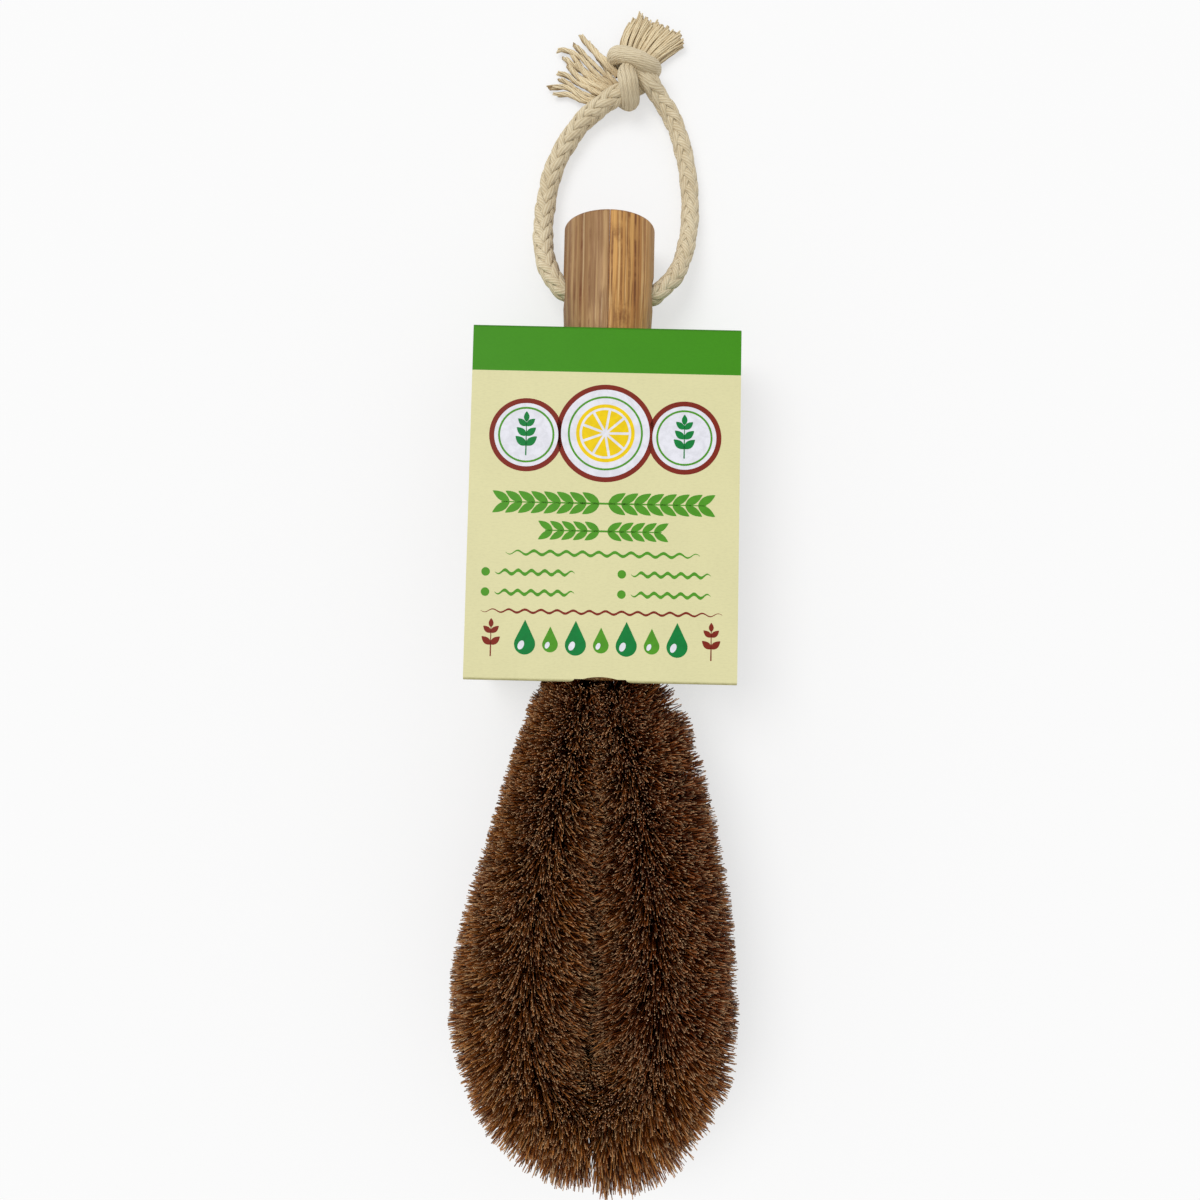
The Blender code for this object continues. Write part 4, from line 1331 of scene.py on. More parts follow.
@dataclass
class CardSleeve:
    """Printed card, folded round the handle, with a glue flap inside its back panel."""

    place: BrushFrame
    thickness: float = 0.0005
    fold_radius: float = 0.0008
    fold_steps: int = 8
    start: float = -0.0003
    length: float = 0.0926
    width: float = 0.070
    head_half_depth: float = 0.015
    end_half_depth: float = 0.0135
    step_in: float = 0.0008
    end_taper: float = 0.0013
    flap_length: float = 0.012
    flap_taper: float = 0.004
    pass_radius: float = 0.0128
    notch_radius: float = 0.0164
    band_width: float = 0.0120
    cutter_reach: float = 0.003
    hole_sides: int = 128

    @property
    def end(self) -> float:
        """Where the sleeve ends along the brush."""
        return self.start + self.length

    def corners(self) -> tuple[tuple[float, float, float], ...]:
        """Corners of the folded card as (along, up, inset)."""
        share = self.flap_length / self.length
        flap_half = blend(self.head_half_depth, self.end_half_depth, share)
        return (
            (self.start, -self.head_half_depth, 0.0),
            (self.end, -self.end_half_depth, 0.0),
            (self.end, self.end_half_depth, 0.0),
            (self.start, self.head_half_depth, 0.0),
            (self.start, -self.head_half_depth + self.step_in, self.end_taper),
            (self.start + self.flap_length, -flap_half + self.step_in, self.flap_taper),
        )

    def outline(self) -> tuple[list[Vector], list[float], list[float]]:
        """The folded line with small bends, the way along each point, and that of each fold."""
        corners = [Vector(corner) for corner in self.corners()]
        points = [corners[0]]
        folds = []
        for before, corner, after in zip(corners, corners[1:], corners[2:]):
            back, ahead = before - corner, after - corner
            angle = back.to_2d().angle(ahead.to_2d())
            run = self.fold_radius / math.tan(angle / 2)
            first = corner + back * (run / back.to_2d().length)
            last = corner + ahead * (run / ahead.to_2d().length)
            to_middle = (first + last) / 2 - corner
            reach = self.fold_radius / math.sin(angle / 2) / to_middle.to_2d().length
            middle = corner + to_middle * reach
            arm = (first - middle).to_2d()
            sweep = (last - middle).to_2d().angle_signed(arm)
            for step in range(self.fold_steps + 1):
                share = step / self.fold_steps
                turned = Matrix.Rotation(sweep * share, 2) @ arm
                inset = blend(first.z, last.z, share)
                points.append(Vector((middle.x + turned.x, middle.y + turned.y, inset)))
            folds.append(len(points) - 1 - self.fold_steps // 2)
        points.append(corners[-1])
        runs = [0.0]
        for first, last in zip(points, points[1:]):
            runs.append(runs[-1] + (last - first).to_2d().length)
        return points, runs, [runs[index] for index in folds]

    def cutters(self) -> tuple[Piece, ...]:
        """Hole for the handle, and the wide hole that notches the folds at the head."""
        inside = self.end - self.fold_radius - self.thickness
        reach = self.head_half_depth + self.cutter_reach
        upright = Matrix.Translation((0, self.start - self.head_half_depth, 0))
        upright = upright @ Matrix.Rotation(math.pi / 2, 4, "X")
        below, above = self.start - self.cutter_reach, self.start + self.fold_radius
        return (
            drum("end_hole_cutter", self.pass_radius, inside, self.end + self.cutter_reach,
                 self.hole_sides),
            drum("head_hole_cutter", self.notch_radius, below, above, self.hole_sides),
            drum("notch_cutter", self.notch_radius, -reach, reach, self.hole_sides, upright),
        )

    def folded(self) -> Piece:
        """The card itself, with its unrolled map and its three materials."""
        outline, runs, folds = self.outline()
        shape = bmesh.new()
        layer = shape.loops.layers.uv.new("unrolled")
        rows = []
        for point in outline:
            half = self.width / 2 - point.z
            rows.append([shape.verts.new((side * half, point.x, point.y)) for side in (-1, 1)])
        for before, after, first, last in zip(rows, rows[1:], runs, runs[1:]):
            face = shape.faces.new((before[0], after[0], after[1], before[1]))
            for loop, run in zip(face.loops, (first, last, last, first)):
                loop[layer].uv = (loop.vert.co.x, run)
        sleeve = mesh_piece("folded_card", shape)
        finish = CardFinish()
        band = (folds[0] - self.band_width, folds[1] + self.band_width)
        for side in CardSide:
            sleeve.data.materials.append(finish.build(side, band, folds))
        wall = sleeve.modifiers.new("card", "SOLIDIFY")
        wall.thickness = self.thickness
        wall.offset = -1
        wall.use_even_offset = True
        wall.material_offset = 1
        wall.material_offset_rim = 2
        subtract(sleeve, self.cutters())
        sleeve.data.transform(self.place.matrix())
        shade_round(sleeve, 35)
        return sleeve

    def panel_point(self, spot: complex, lift: float) -> Vector:
        """Place on the front panel in the brush's own frame.

        Args:
            spot: Distance from the middle to the right, and from the hanging end's fold down.
            lift: Height above the card.

        Returns:
            The place.
        """
        top = Vector((0, self.end, self.end_half_depth))
        bottom = Vector((0, self.start, self.head_half_depth))
        way = (bottom - top).normalized()
        normal = Vector((1, 0, 0)).cross(-way)
        return Vector((spot.real, 0, 0)) + top + way * spot.imag + normal * lift

    def build(self) -> None:
        """Make and dress the sleeve and its print."""
        register(self.folded(), "sleeve", "printed_card", "card_sleeve")
        CardPrint(self).build()


@dataclass
class CardPrint:
    """Generic print on the sleeve's front: plates with citrus and sprigs, garlands, waves, drops.

    A spot is a complex number: across from the panel's middle, and down from its upper fold.
    """

    sleeve: CardSleeve
    ink_lift: float = 0.00003
    ink_depth: float = 0.00008
    plate_rim: float = 0.0013
    thin_line: float = 0.0005
    stalk_line: float = 0.00035
    plate_side: float = 0.0205
    shapes: dict[tuple[InkColour, int], list[list[complex]]] = field(default_factory=dict)

    def _keep(self, ink: InkColour, level: int, *faces: list[complex]) -> None:
        """Keep flat faces in one ink and one layer."""
        self.shapes.setdefault((ink, level), []).extend(faces)

    def _strip(self, ink: InkColour, level: int, outer: list[complex], inner: list[complex]) -> None:
        """Keep the faces between two lines with as many spots."""
        quads = zip(outer, outer[1:], inner[1:], inner)
        self._keep(ink, level, *(list(corners) for corners in quads))

    @staticmethod
    def _circle(middle: complex, radius: float, count: int = 72, squash: float = 1.0,
                turn: float = 0.0) -> list[complex]:
        """Corners of a circle or an oval."""
        angles = [math.tau * index / count for index in range(count)]
        arms = [complex(radius * math.cos(angle), radius * squash * math.sin(angle))
                for angle in angles]
        return [middle + arm * rect(1, turn) for arm in arms]

    def _wave(self, ink: InkColour, start: complex, length: float, height: float, waves: int,
              line: float) -> None:
        """A wavy line across the panel with tapered ends."""
        outer, inner = [], []
        count = waves * 24
        for index in range(count + 1):
            share = index / count
            spot = start + complex(length * share, height * math.sin(math.tau * waves * share))
            half = 1j * line / 2 * min(1.0, 6 * share + 0.15, 6 * (1 - share) + 0.15)
            outer.append(spot + half)
            inner.append(spot - half)
        self._strip(ink, 0, outer, inner)

    def _leaf(self, ink: InkColour, level: int, root: complex, length: float, turn: float,
              plump: float = 0.32) -> None:
        """A pointed leaf that grows from its root."""
        outer, inner = [], []
        for index in range(15):
            share = index / 14
            half = plump * length * math.sin(math.pi * share) ** 0.8 * (1 - 0.35 * share)
            outer.append(root + complex(length * share, half) * rect(1, turn))
            inner.append(root + complex(length * share, -half) * rect(1, turn))
        self._strip(ink, level, outer, inner)

    def _stalk(self, ink: InkColour, level: int, start: complex, end: complex, line: float) -> None:
        """A straight line that thins towards its end."""
        side = 1j * (end - start) / abs(end - start) * line / 2
        self._keep(ink, level, [start + side, end + side / 2, end - side / 2, start - side])

    def _sprig(self, ink: InkColour, level: int, start: complex, length: float, leaves: int) -> None:
        """A stalk that grows up the panel, with leaves in pairs and one at its tip."""
        turn = -math.pi / 2
        way = rect(length, turn)
        self._stalk(ink, level, start, start + way, self.stalk_line)
        for index in range(leaves):
            root = start + way * (index + 1) / (leaves + 0.6)
            size = length * blend(0.40, 0.28, index / leaves)
            for sign in (-1, 1):
                self._leaf(ink, level, root, size, turn + sign * 0.85)
        self._leaf(ink, level, start + rect(length - 0.0004, turn), length * 0.30, turn)

    def _garland(self, ink: InkColour, down: float, half_width: float, leaf: float) -> None:
        """A row of leaves that lean away from the middle, above and below a line."""
        count = round(half_width / (leaf * 0.62))
        for side in (-1, 1):
            self._stalk(ink, 0, 1j * down, complex(side * half_width, down), self.thin_line)
            for index in range(count):
                across = side * half_width * (index + 0.35) / count
                for sign in (-1, 1):
                    root = complex(across, down + sign * 0.0001)
                    self._leaf(ink, 0, root, leaf, math.atan2(sign * 0.62, side), 0.24)

    def _plate(self, middle: complex, radius: float) -> None:
        """A white plate with a coloured rim and a thin ring inside it."""
        self._keep(InkColour.RIM, 0, self._circle(middle, radius, 120))
        self._keep(InkColour.WHITE, 1, self._circle(middle, radius - self.plate_rim, 120))
        rings = [self._circle(middle, radius * 0.76 - inset) for inset in (0.0, self.thin_line)]
        self._strip(InkColour.GREEN, 2, *(ring + ring[:1] for ring in rings))

    def _lemon(self, middle: complex, radius: float, wedges: int) -> None:
        """A round slice of lemon."""
        self._keep(InkColour.YELLOW, 2, self._circle(middle, radius, 96))
        self._keep(InkColour.WHITE, 3, self._circle(middle, radius * 0.88, 96))
        for wedge in range(wedges):
            start = math.tau * (wedge + 0.08) / wedges
            corners = [middle + rect(radius * 0.12, start + math.pi / wedges)]
            for step in range(9):
                angle = start + math.tau * 0.84 / wedges * step / 8
                corners.append(middle + rect(radius * 0.80, angle))
            self._keep(InkColour.YELLOW, 4, corners)

    def _drop(self, ink: InkColour, middle: complex, radius: float) -> None:
        """A drop of water that points up, with a light on it."""
        self._keep(ink, 0, self._circle(middle, radius, 40))
        for sign in (-1, 1):
            side = middle + complex(sign * 0.93, -0.37) * radius
            self._keep(ink, 1, [middle, side, middle - 2.3j * radius])
        light = middle + complex(-0.35, 0.1) * radius
        self._keep(InkColour.WHITE, 2, self._circle(light, radius * 0.28, 24, 1.6, 0.4))

    def draw(self) -> None:
        """Lay out the print on the panel."""
        rim, green, deep = InkColour.RIM, InkColour.GREEN, InkColour.DEEP_GREEN
        for side in (-1, 1):
            self._plate(complex(side * self.plate_side, 0.0290), 0.0096)
        self._plate(0.0282j, 0.0128)
        self._lemon(0.0282j, 0.0076, 9)
        for side in (-1, 1):
            self._sprig(deep, 2, complex(side * self.plate_side, 0.0344), 0.0092, 3)
        self._garland(green, 0.0466, 0.0265, 0.0052)
        self._garland(green, 0.0538, 0.0150, 0.0044)
        self._wave(green, -0.0250 + 0.0597j, 0.0500, 0.0005, 12, 0.0008)
        for row in (0.0648, 0.0700):
            for across in (-0.0300, 0.0050):
                start = complex(across, row)
                self._keep(green, 0, self._circle(start, 0.0011, 28))
                self._wave(green, start + 0.0024, 0.0205, 0.0005, 6, 0.0009)
        self._wave(rim, -0.0310 + 0.0748j, 0.0620, 0.0004, 15, 0.0006)
        for index in range(7):
            ink, size = (green, 0.0020) if index % 2 else (deep, 0.0027)
            self._drop(ink, complex(-0.0195 + 0.0065 * index, 0.0832), size)
        for side in (-1, 1):
            self._sprig(rim, 0, complex(side * 0.0282, 0.0865), 0.0078, 2)

    def build(self) -> None:
        """Make one thin piece for each ink."""
        self.draw()
        for ink in InkColour:
            shape = bmesh.new()
            for (used, level), faces in self.shapes.items():
                lift = self.ink_lift * (level + 1)
                for corners in faces if used is ink else ():
                    places = [self.sleeve.panel_point(spot, lift) for spot in corners]
                    shape.faces.new([shape.verts.new(place) for place in places])
            bmesh.ops.remove_doubles(shape, verts=shape.verts, dist=1e-7)
            shape.normal_update()
            turned = [face for face in shape.faces if face.normal.z < 0]
            bmesh.ops.reverse_faces(shape, faces=turned)
            piece = mesh_piece(f"print_{ink.name.lower()}", shape, self.sleeve.place.matrix())
            piece.data.materials.append(InkFinish(ink).build())
            wall = piece.modifiers.new("ink", "SOLIDIFY")
            wall.thickness = self.ink_depth
            wall.offset = -1
            apply_modifiers(piece)
            register(piece, "sleeve", "printed_card")


@dataclass(frozen=True)
class StrandForm:
    """Thickness and way of one strand.

    A place of the route is across and along from the cross hole in tenths of a millimetre, then the
    share of the hole's height that is left. One of the knot is across, along and above the table.
    """

    word: str
    radius: float
    knot_radius: float
    knot_delay: float
    route: tuple[tuple[float, float, float], ...]
    knot: tuple[tuple[float, float, float], ...]


class Strand(Enum):
    """The two halves of the hanging cord, from the cross hole to the knot."""

    LEFT = StrandForm(
        "left", 0.0029, 0.00225, -0.05,
        ((-98, 0, 1.00), (-124, 9, 0.98), (-150, 41, 0.89), (-172, 86, 0.71), (-188, 165, 0.38),
         (-188, 265, 0.10), (-165, 393, 0.00), (-120, 484, 0.00), (-68, 550, 0.02)),
        ((10, 597, 54), (55, 618, 50), (82, 644, 27), (102, 668, 29), (117, 672, 58), (100, 664, 92),
         (57, 678, 104), (20, 696, 86), (2, 706, 52), (10, 696, 27), (36, 692, 22), (60, 718, 21.5)),
    )
    RIGHT = StrandForm(
        "right", 0.00262, 0.0028, 0.75,
        ((98, -2, 1.00), (124, 1, 0.98), (152, 27, 0.90), (186, 70, 0.70), (211, 135, 0.43),
         (229, 240, 0.12), (227, 350, 0.01), (208, 455, 0.00), (173, 550, 0.02)),
        ((132, 605, 42), (105, 632, 64), (80, 656, 69), (57, 666, 70), (41, 644, 78), (44, 616, 90),
         (49, 591, 74), (48, 591, 42), (30, 610, 28), (8, 622, 28)),
    )


@dataclass
class HangingCord:
    """Braided cotton cord through the cross hole, knotted beyond the handle's end."""

    place: BrushFrame
    hole_radius: float = 0.0026
    mouth_across: float = 0.0125
    mouth_run: float = 0.004
    mouth_along: float = 0.02
    lie_height: float = 0.0026
    lump_share: float = 1.06
    spacing: float = 0.00045
    knot_ease: float = 0.85
    lay_length: float = 0.028
    yarns_each_way: int = 6
    yarn_half_width: float = 0.00110
    yarn_half_depth: float = 0.00048
    knotted_size: float = 0.64
    yarn_sides: int = 8
    core_sides: int = 12
    weave: float = 0.00023

    def line(self, form: StrandForm) -> tuple[list[Vector], list[float], list[float]]:
        """The strand's smooth middle line.

        Args:
            form: The strand's route.

        Returns:
            Close points in the shared frame, the way along each, and how far it is into the knot
            from 0 to 1.
        """
        hole = self.place.hole
        fall = hole.z - self.lie_height
        chosen = [hole]
        for x, y, share in form.route:
            chosen.append(hole + Vector((x / TENTHS, y / TENTHS, (share - 1) * fall)))
        for x, y, height in in_metres(form.knot):
            chosen.append(Vector((hole.x + x, hole.y + y, height)))
        padded = [2 * chosen[0] - chosen[1], *chosen, 2 * chosen[-1] - chosen[-2]]
        knot_start = len(form.route) + 1 + form.knot_delay
        points, tightness = [chosen[0]], [0.0]
        for index in range(len(chosen) - 1):
            near = padded[index:index + 4]
            marks = [0.0]
            for one, other in zip(near, near[1:]):
                marks.append(marks[-1] + math.sqrt((other - one).length))
            steps = math.ceil((near[2] - near[1]).length / self.spacing)
            for step in range(1, steps + 1):
                at = blend(marks[1], marks[2], step / steps)
                level = near
                for depth in (1, 2):
                    level = [
                        level[i].lerp(level[i + 1], (at - marks[i]) / (marks[i + depth] - marks[i]))
                        for i in range(len(level) - 1)
                    ]
                points.append(level[0].lerp(level[1], step / steps))
                tightness.append(ease((index + step / steps - knot_start) / self.knot_ease))
        for point, tight in zip(points, tightness):
            point.z = max(point.z, self.full_radius(form, point, tight) * self.lump_share)
        travelled = [0.0]
        for first, last in zip(points, points[1:]):
            travelled.append(travelled[-1] + (last - first).length)
        return points, travelled, tightness

    def full_radius(self, form: StrandForm, point: Vector, tight: float) -> float:
        """Radius of the cord at a point, squeezed in its hole and in its knot."""
        out = ease((abs(point.x) - self.mouth_across) / self.mouth_run)
        near_hole = point.y < self.place.hole.y + self.mouth_along
        radius = blend(self.hole_radius, form.radius, out if near_hole else 1.0)
        return blend(radius, form.knot_radius, tight)

    def weave_share(self, family: int, copy: int, turn: float) -> float:
        """How far out a yarn lies, from -1 to 1, as it passes over two others and under two."""
        crossing = self.yarns_each_way * turn / math.pi
        phase = crossing - 0.5 + 2 * copy if family > 0 else 2 * copy - crossing - 2.5
        return max(-1.0, min(1.0, 1.4 * math.cos(math.pi / 2 * phase)))

    def turns(self, travelled: list[float], tightness: list[float]) -> list[float]:
        """Turn of the braid at each point, which slows down to nothing in the knot."""
        entry = next(index for index, tight in enumerate(tightness) if tight > 0.0)
        turns = [math.tau / (4 * self.yarns_each_way)]
        for index in range(len(travelled) - 1, 0, -1):
            run = travelled[index] - travelled[index - 1]
            slowing = (1 - tightness[index]) ** 2 if index > entry else 1.0
            turns.append(turns[-1] - run / self.lay_length * math.tau * slowing)
        return turns[::-1]

    def base(self, form: StrandForm, families: Sequence[int]) -> Mesh:
        """Lines of the strand's yarns along its middle, with what winds them.

        Args:
            form: The strand's form.
            families: 1 for yarns that wind to the right, -1 for those to the left, 0 for the core.

        Returns:
            A line for each yarn, all along the middle.
        """
        points, travelled, tightness = self.line(form)
        turns = self.turns(travelled, tightness)
        dice = random.Random(f"cord {form.word}")
        lumps = [1.0 + 0.035 * math.sin(at * 620) + 0.02 * math.sin(at * 1490 + 1.3)
                 for at in travelled]
        yarns = [(family, copy) for family in families
                 for copy in range(self.yarns_each_way if family else 1)]
        winding = []
        for family, copy in yarns:
            start = math.tau * copy / self.yarns_each_way
            wobble = dice.uniform(0.94, 1.06)
            for point, tight, turn, lump in zip(points, tightness, turns, lumps):
                full = self.full_radius(form, point, tight) * lump
                weave = self.weave * (1 - tight)
                size = blend(1.0, self.knotted_size, tight) * wobble
                depth = self.yarn_half_depth * size
                reach = full - depth - weave + weave * self.weave_share(family, copy, turn)
                if family == 0:
                    reach, size = 0.0, full - depth * 1.6
                winding.append((start + family * turn, reach, size))
        sides, rises = self._steady_sides(points)
        count = len(yarns)
        return line_mesh(f"cord_{form.word}_lines", [points] * count, {
            "side": sides * count, "rise": rises * count, "winding": winding,
            "shape": travelled * count,
        })

    @staticmethod
    def _steady_sides(points: list[Vector]) -> tuple[list[Vector], list[Vector]]:
        """Two directions at each point, square to the line, that don't turn about it."""
        spans = zip(points[:1] + points, points[1:] + points[-1:])
        tangents = [(last - first).normalized() for first, last in spans]
        side = Vector((0, 0, 1)).cross(tangents[0]).normalized()
        sides, rises = [], []
        for tangent in tangents:
            side = (side - tangent * side.dot(tangent)).normalized()
            sides.append(side)
            rises.append(tangent.cross(side))
        return sides, rises

    def tree(self, name: str, material: Material, half_width: float, half_depth: float,
             sides: int) -> GeometryRecipe:
        """Tree that winds flattened yarns round their line.

        Args:
            name: The tree's name.
            material: The yarn's finish.
            half_width: Half the yarn's width across.
            half_depth: Half its depth towards the cord's middle.
            sides: Corners round one yarn.

        Returns:
            The finished tree.
        """
        tree = GeometryRecipe(name, {
            "Half Width": half_width, "Half Depth": half_depth, "Sides": sides,
            "Material": material,
        })
        angle, reach, size = tree.split(tree.attribute("winding"))
        arm = tree.turned(tree.attribute("side"), tree.attribute("rise"), angle)
        inputs = {0: tree.curve(), "Normal": arm}
        facing = tree.add("GeometryNodeSetCurveNormal", inputs, mode="FREE")
        wound = tree.moved(facing, arm * reach)
        share = tree.share() * math.tau
        around = tree.join(tree.math("COSINE", share), tree.math("SINE", share))
        circle = tree.circle(tree["Sides"], 1.0)
        marked = tree.store(circle, "turn", around, "FLOAT_VECTOR")
        oval = tree.join(tree["Half Depth"], tree["Half Width"])
        pressed = tree.placed(marked, tree.position() * oval)
        tube = tree.tube(wound, pressed, Scale=size)
        lay = tree.attribute("turn") + tree.join(up=tree.attribute("shape", "FLOAT"))
        return tree.finish(tree.store(tube, "lay", lay, "FLOAT_VECTOR"))

    def build(self, ends: dict[Strand, Piece]) -> None:
        """Braid both strands, each with its core, and let them ride on the cord's body."""
        cotton = CottonFinish("cotton_cord").build()
        # The core is a darker cotton, as painted shade in the gaps of the braid.
        shaded = CottonFinish("shaded_cotton_core", paint(142, 114, 76), paint(92, 68, 40)).build()
        yarns = self.tree("braided_yarns", cotton, self.yarn_half_width, self.yarn_half_depth,
                          self.yarn_sides)
        core = self.tree("cord_core", shaded, 1.0, 1.0, self.core_sides)
        for strand in Strand:
            form = strand.value
            braid = yarns.bake(f"cord_{form.word}", self.base(form, (1, -1)))
            inside = core.bake(f"core_{form.word}", self.base(form, (0,)))
            piece = join_pieces(braid, inside)
            register(piece, "cord_loop", "cotton_cord", "hanging_cord")
            points, travelled, _ = self.line(form)
            mouth = next(point for point in points if abs(point.x) >= self.mouth_across)


def join_pieces(first: Piece, second: Piece) -> Piece:
    """Join a second mesh and its materials into the first one, and remove its object."""
    shape = bmesh.new()
    shape.from_mesh(first.data)
    own_faces = len(shape.faces)
    shape.from_mesh(second.data)
    shape.faces.ensure_lookup_table()
    for face in shape.faces[own_faces:]:
        face.material_index += len(first.data.materials)
    shape.to_mesh(first.data)
    shape.free()
    for material in second.data.materials:
        first.data.materials.append(material)
    bpy.data.objects.remove(second, do_unlink=True)
    return first


@dataclass
class FrayedEnd:
    """Loose yarns past the end of one strand, each a lock of fibres, lying on the table.

    A route holds a yarn's places from the knot outwards, across and along from the cross hole.
    """

    word: str
    place: BrushFrame
    routes: Sequence[Sequence[FlatPoint]]
    start_height: float
    end_height: float
    layer_height: float
    fibres: int
    spread: float
    tip_spread: float
    wander: float
    twist: float
    fibre_radius: float
    fibre_sides: int = 5
    floor_clearance: float = 0.0002
    line_points: int = 16

    def smooth(self, route: Sequence[FlatPoint]) -> list[Vector]:
        """Even points on a smooth curve through a route's places."""
        places = [Vector(place) for place in route]
        places = [2 * places[0] - places[1], *places, 2 * places[-1] - places[-2]]
        spans = len(places) - 3
        points = []
        for index in range(self.line_points):
            at = spans * index / (self.line_points - 1)
            span = min(int(at), spans - 1)
            share = at - span
            before, first, last, after = places[span:span + 4]
            slope, end_slope = (last - before) / 2, (after - first) / 2
            cube, square = share ** 3, share ** 2
            points.append(first * (2 * cube - 3 * square + 1) + slope * (cube - 2 * square + share)
                          + last * (3 * square - 2 * cube) + end_slope * (cube - square))
        return points

    def base(self) -> Mesh:
        """Middle line of each yarn, with how far its fibres stand apart."""
        dice = random.Random(f"{self.word} layers")
        hole = self.place.hole
        low = self.spread + self.floor_clearance
        lines, spreads, locks = [], [], []
        for number, route in enumerate(self.routes):
            layer = dice.uniform(-0.5, 0.5) * self.layer_height
            points = []
            for step, flat in enumerate(self.smooth(route)):
                way = step / (self.line_points - 1)
                height = blend(self.start_height, self.end_height, ease(way * 1.2))
                height = max(height + layer * (1 - 0.5 * way), low)
                points.append(Vector((hole.x + flat.x, hole.y + flat.y, height)))
                spreads.append(blend(self.spread, self.tip_spread, way ** 3))
                locks.append(float(number))
            lines.append(points)
        return line_mesh(f"fray_{self.word}_lines", lines, {"spread": spreads, "lock": locks})

    def tree(self, material: Material) -> GeometryRecipe:
        """Tree that splits each yarn's line into fibres."""
        tree = GeometryRecipe(f"frayed_{self.word}", {
            "Fibres": self.fibres, "Fibre Radius": self.fibre_radius, "Wander": self.wander,
            "Twist": self.twist, "Floor": self.floor_clearance, "Material": material,
        })
        inputs = {0: tree.curve(), 2: tree["Fibres"]}
        copies = tree.node("GeometryNodeDuplicateElements", inputs, domain="SPLINE")
        copied, number = (Value(tree, socket) for socket in copies.outputs[:2])
        name = tree.math("MULTIPLY_ADD", tree.attribute("lock", "FLOAT"), 61.0, number)
        spread = tree.attribute("spread", "FLOAT")
        share = tree.share()
        ring = tree.math("SQRT", (number + 0.5) / float(self.fibres))
        turn = tree.math("MULTIPLY_ADD", share, tree["Twist"], number * 2.39996)
        normal = tree.add("GeometryNodeInputNormal")
        beside = tree.math("CROSS_PRODUCT", tree.add("GeometryNodeInputTangent"), normal)
        offset = tree.turned(normal, beside, turn) * (spread * ring)
        place = tree.position()
        drift = tree.drift(place * 200.0 + tree.join(name * 7.31, name * 3.17), 2.0, 0.5)
        loose = drift * (tree["Wander"] * tree.ranged(share, 0.0, 1.0, 0.3, 2.2))
        x, y, z = tree.split(place + (offset + loose))
        rested = tree.join(x, y, tree.math("MAXIMUM", z, tree["Floor"]))
        # Painted shade: a fibre low in its lock, or near the lock's root, gets a higher "deep" value.
        rise = tree.split(offset)[2] / spread
        deep = tree.math("MAXIMUM", tree.ranged(rise, -0.30, 0.75, 1.0, 0.0),
                         tree.ranged(share, 0.05, 0.45, 0.70, 0.0))
        laid = tree.placed(tree.store(copied, "deep", deep), rested)
        end = tree.ranged(tree.math("FRACT", name * 0.618), 0.0, 1.0, 0.90, 1.0)
        trimmed = tree.add("GeometryNodeTrimCurve", {0: laid, "End": end})
        circle = tree.circle(self.fibre_sides, tree["Fibre Radius"])
        return tree.finish(tree.tube(trimmed, circle))

    def build(self, material: Material, node: str) -> Piece:
        """Make and dress the loose yarns in place of their CAD node."""
        piece = self.tree(material).bake(f"fray_{self.word}", self.base())
        register(piece, "cord_loop", "cotton_yarn", node)
        return piece


@dataclass(frozen=True)
class Studio:
    """Pale floor, soft light and the camera that looks straight down."""

    lens: float = 26.67
    sensor: float = 36.0
    camera_place: tuple[float, float, float] = (-0.00045, 0.026042, 0.2595)
    camera_turn: float = math.radians(1.25)
    sky_strength: float = 0.62
    key_level: float = 0.38
    key_softness: float = math.radians(35)
    key_direction: tuple[float, float, float] = (0.45, -0.35, -1.0)
    floor_half: float = 1.5
    floor_drop: float = 0.0001
    shadow_share: float = 0.4

    def add_camera(self) -> None:
        """Place the camera."""
        data = bpy.data.cameras.new("camera")
        data.lens = self.lens
        data.sensor_width = self.sensor
        data.clip_start = 0.01
        camera = link_object("camera", data)
        camera.location = self.camera_place
        camera.rotation_euler = (0, 0, self.camera_turn)
        bpy.context.scene.camera = camera

    def add_light(self) -> None:
        """A soft key from the upper left under an even white sky."""
        world = bpy.data.worlds.new("pale_sky")
        bpy.context.scene.world = world
        world.use_nodes = True
        nodes = NodeTree(world.node_tree)
        background = world.node_tree.nodes["Background"]
        background.inputs[0].default_value = (1, 1, 1, 1)
        camera, glossy, through = (nodes.add("ShaderNodeLightPath", None, f"Is {kind} Ray")
                                   for kind in ("Camera", "Glossy", "Transmission"))
        seen = nodes.math("MAXIMUM", nodes.math("MAXIMUM", camera, glossy), through)
        nodes.put(background.inputs[1], nodes.between(seen, self.sky_strength, 1.0))
        data = bpy.data.lights.new("key", "SUN")
        way = Vector(self.key_direction).normalized()
        data.energy = self.key_level * math.pi / -way.z
        data.angle = self.key_softness
        link_object("key", data).rotation_euler = way.to_track_quat("-Z", "Y").to_euler()

    def add_floor(self) -> None:
        """A white table top that still shows the object's shadow."""
        shape = bmesh.new()
        bmesh.ops.create_grid(shape, x_segments=1, y_segments=1, size=self.floor_half)
        floor = mesh_piece("floor", shape, Matrix.Translation((0, 0, -self.floor_drop)))
        skin = Surface("pale_table")
        skin.tree.nodes.remove(skin.shader)
        matt = skin.add("ShaderNodeBsdfDiffuse", {0: (0.92, 0.92, 0.92, 1)})
        glow = skin.add("ShaderNodeEmission", {0: (1, 1, 1, 1), 1: 1.0})
        seen = skin.add("ShaderNodeLightPath", None, "Is Camera Ray")
        inputs = {0: seen * (1 - self.shadow_share), 1: matt, 2: glow}
        both = skin.add("ShaderNodeMixShader", inputs)
        skin.put(skin.tree.nodes["Material Output"].inputs[0], both)
        floor.data.materials.append(skin.material)

    def build(self) -> None:
        """Set up the view, the light and the floor."""
        bpy.context.scene.view_settings.view_transform = "Standard"
        self.add_camera()
        self.add_light()
        self.add_floor()


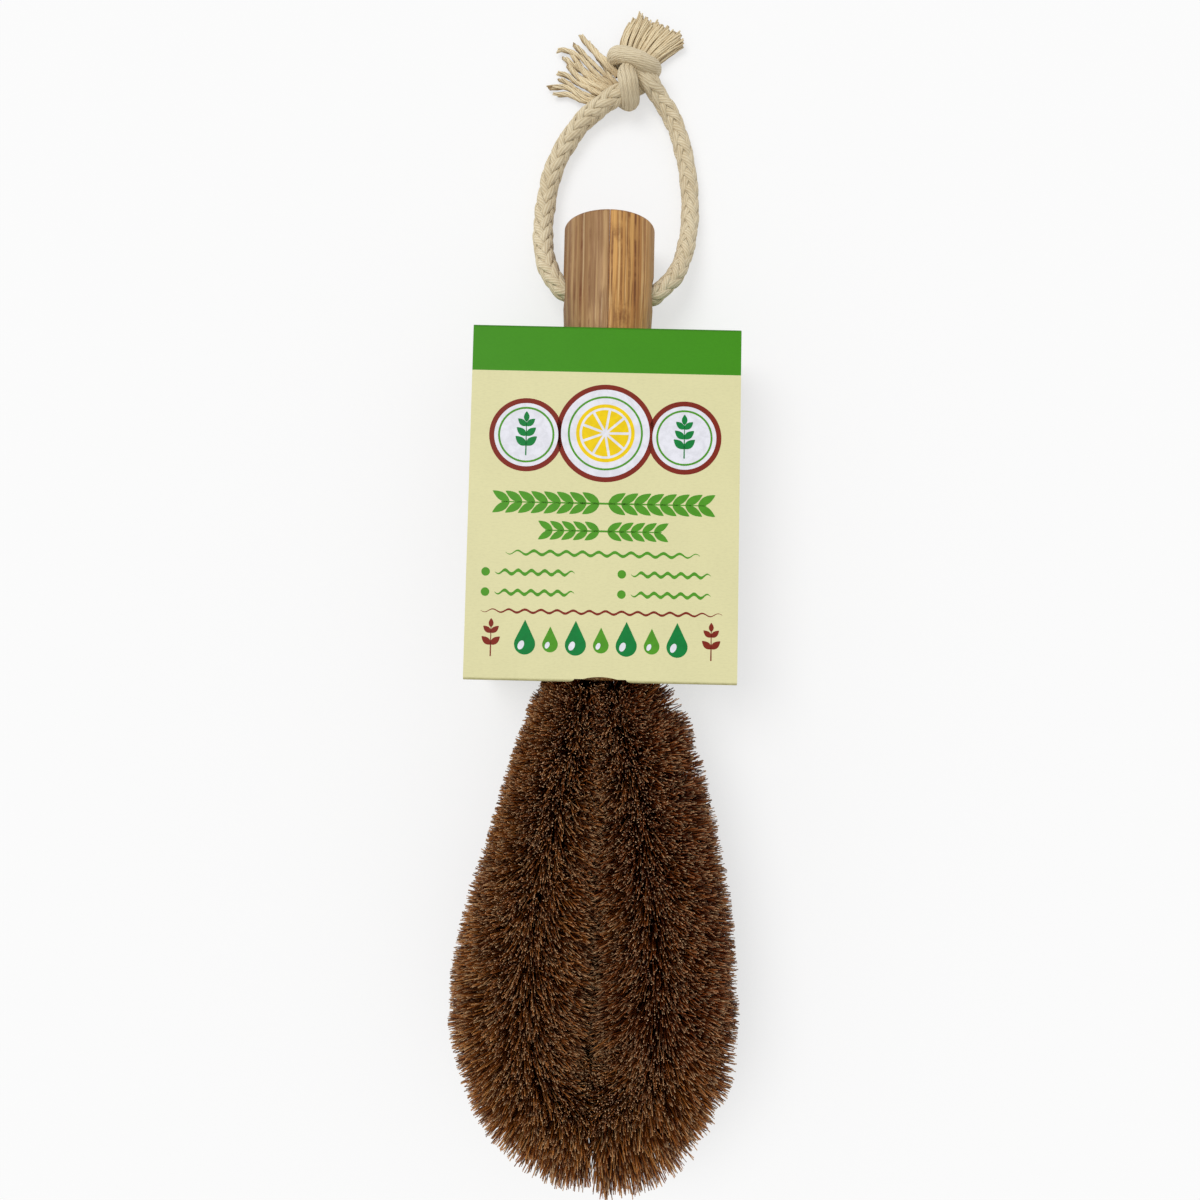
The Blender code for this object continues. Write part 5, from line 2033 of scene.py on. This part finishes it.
LEFT_YARNS = in_metres((
    ((12, 655), (-33, 706), (-66, 750), (-97, 794)),
    ((7, 642), (-42, 690), (-81, 734), (-119, 773)),
    ((22, 650), (-20, 702), (-48, 735), (-74, 766)),
    ((12, 633), (-45, 670), (-97, 727), (-144, 751), (-168, 744)),
    ((11, 623), (-44, 654), (-103, 698), (-150, 735)),
    ((13, 614), (-44, 640), (-99, 672), (-139, 716)),
    ((14, 607), (-37, 622), (-96, 647), (-135, 678), (-165, 681)),
    ((15, 601), (-34, 606), (-89, 624), (-131, 656), (-160, 671)),
    ((13, 596), (-33, 593), (-85, 605), (-134, 638), (-193, 637)),
    ((8, 593), (-37, 589), (-88, 599), (-130, 620), (-175, 619)),
    ((13, 617), (-18, 636), (-57, 654), (-110, 714)),
    ((16, 627), (-6, 661), (-26, 700), (-53, 741)),
    ((2, 597), (-43, 613), (-70, 634), (-102, 669)),
    ((12, 628), (-40, 662), (-80, 688), (-122, 738)),
    ((14, 611), (-40, 632), (-92, 660), (-128, 700)),
))
TOP_YARN_GUIDES = in_metres((
    ((24, 690), (21, 745), (26, 784), (46, 818)),
    ((38, 690), (43, 752), (56, 800), (73, 851)),
    ((50, 690), (62, 750), (80, 798), (102, 842)),
    ((62, 688), (82, 745), (106, 793), (131, 834)),
    ((74, 686), (101, 738), (129, 780), (157, 818)),
    ((86, 682), (119, 728), (152, 766), (187, 800)),
    ((96, 676), (133, 714), (172, 746), (210, 774)),
))


def between_routes(guides: Sequence[Sequence[FlatPoint]], count: int,
                   dice: random.Random) -> list[list[FlatPoint]]:
    """Routes spread over the fan that a few guides span.

    Args:
        guides: Neighbouring routes with as many places each.
        count: How many routes to make.
        dice: The source of their unevenness.

    Returns:
        The routes, each a little off its even place and of its own length.
    """
    routes = []
    for index in range(count):
        at = (index + 0.5 + dice.uniform(-0.3, 0.3)) / count * (len(guides) - 1)
        lower = min(max(int(at), 0), len(guides) - 2)
        reach = dice.uniform(0.93, 1.03)
        spots = [Vector(first).lerp(Vector(last), at - lower)
                 for first, last in zip(guides[lower], guides[lower + 1])]
        routes.append([tuple(spots[0] + (spot - spots[0]) * reach) for spot in spots])
    return routes


def frayed_ends(place: BrushFrame) -> dict[Strand, Piece]:
    """Make the loose yarns at the ends of both strands."""
    yarn = CottonFinish("cotton_yarn", paint(242, 226, 190), paint(180, 150, 104),
                        paint(140, 106, 54), plies=3).build()
    top = FrayedEnd(
        "top", place, between_routes(TOP_YARN_GUIDES, 34, random.Random("top yarns")),
        start_height=0.0030, end_height=0.0022, layer_height=0.0030, fibres=9, spread=0.00050,
        tip_spread=0.00085, wander=0.00040, twist=2.0, fibre_radius=0.00023,
    )
    left = FrayedEnd(
        "left", place, LEFT_YARNS, start_height=0.0042, end_height=0.0016, layer_height=0.0034,
        fibres=12, spread=0.00056, tip_spread=0.00072, wander=0.0003, twist=9.0,
        fibre_radius=0.00021,
    )
    return {
        Strand.LEFT: top.build(yarn, "frayed_end_right"),
        Strand.RIGHT: left.build(yarn, "frayed_end_left"),
    }


def main() -> None:
    """Dress the brush, piece by piece."""
    logging.basicConfig(level=logging.INFO, format="%(message)s")
    place = BrushFrame.from_joints(frame["joints"])
    path = LoopPath()
    Studio().build()
    HangingCord(place).build(frayed_ends(place))
    TurnedHandle(place, path).build()
    TwistedWire(place, path).build()
    CardSleeve(place).build()
    BristleHead(place, path).build()


if __name__ == "__main__":
    main()
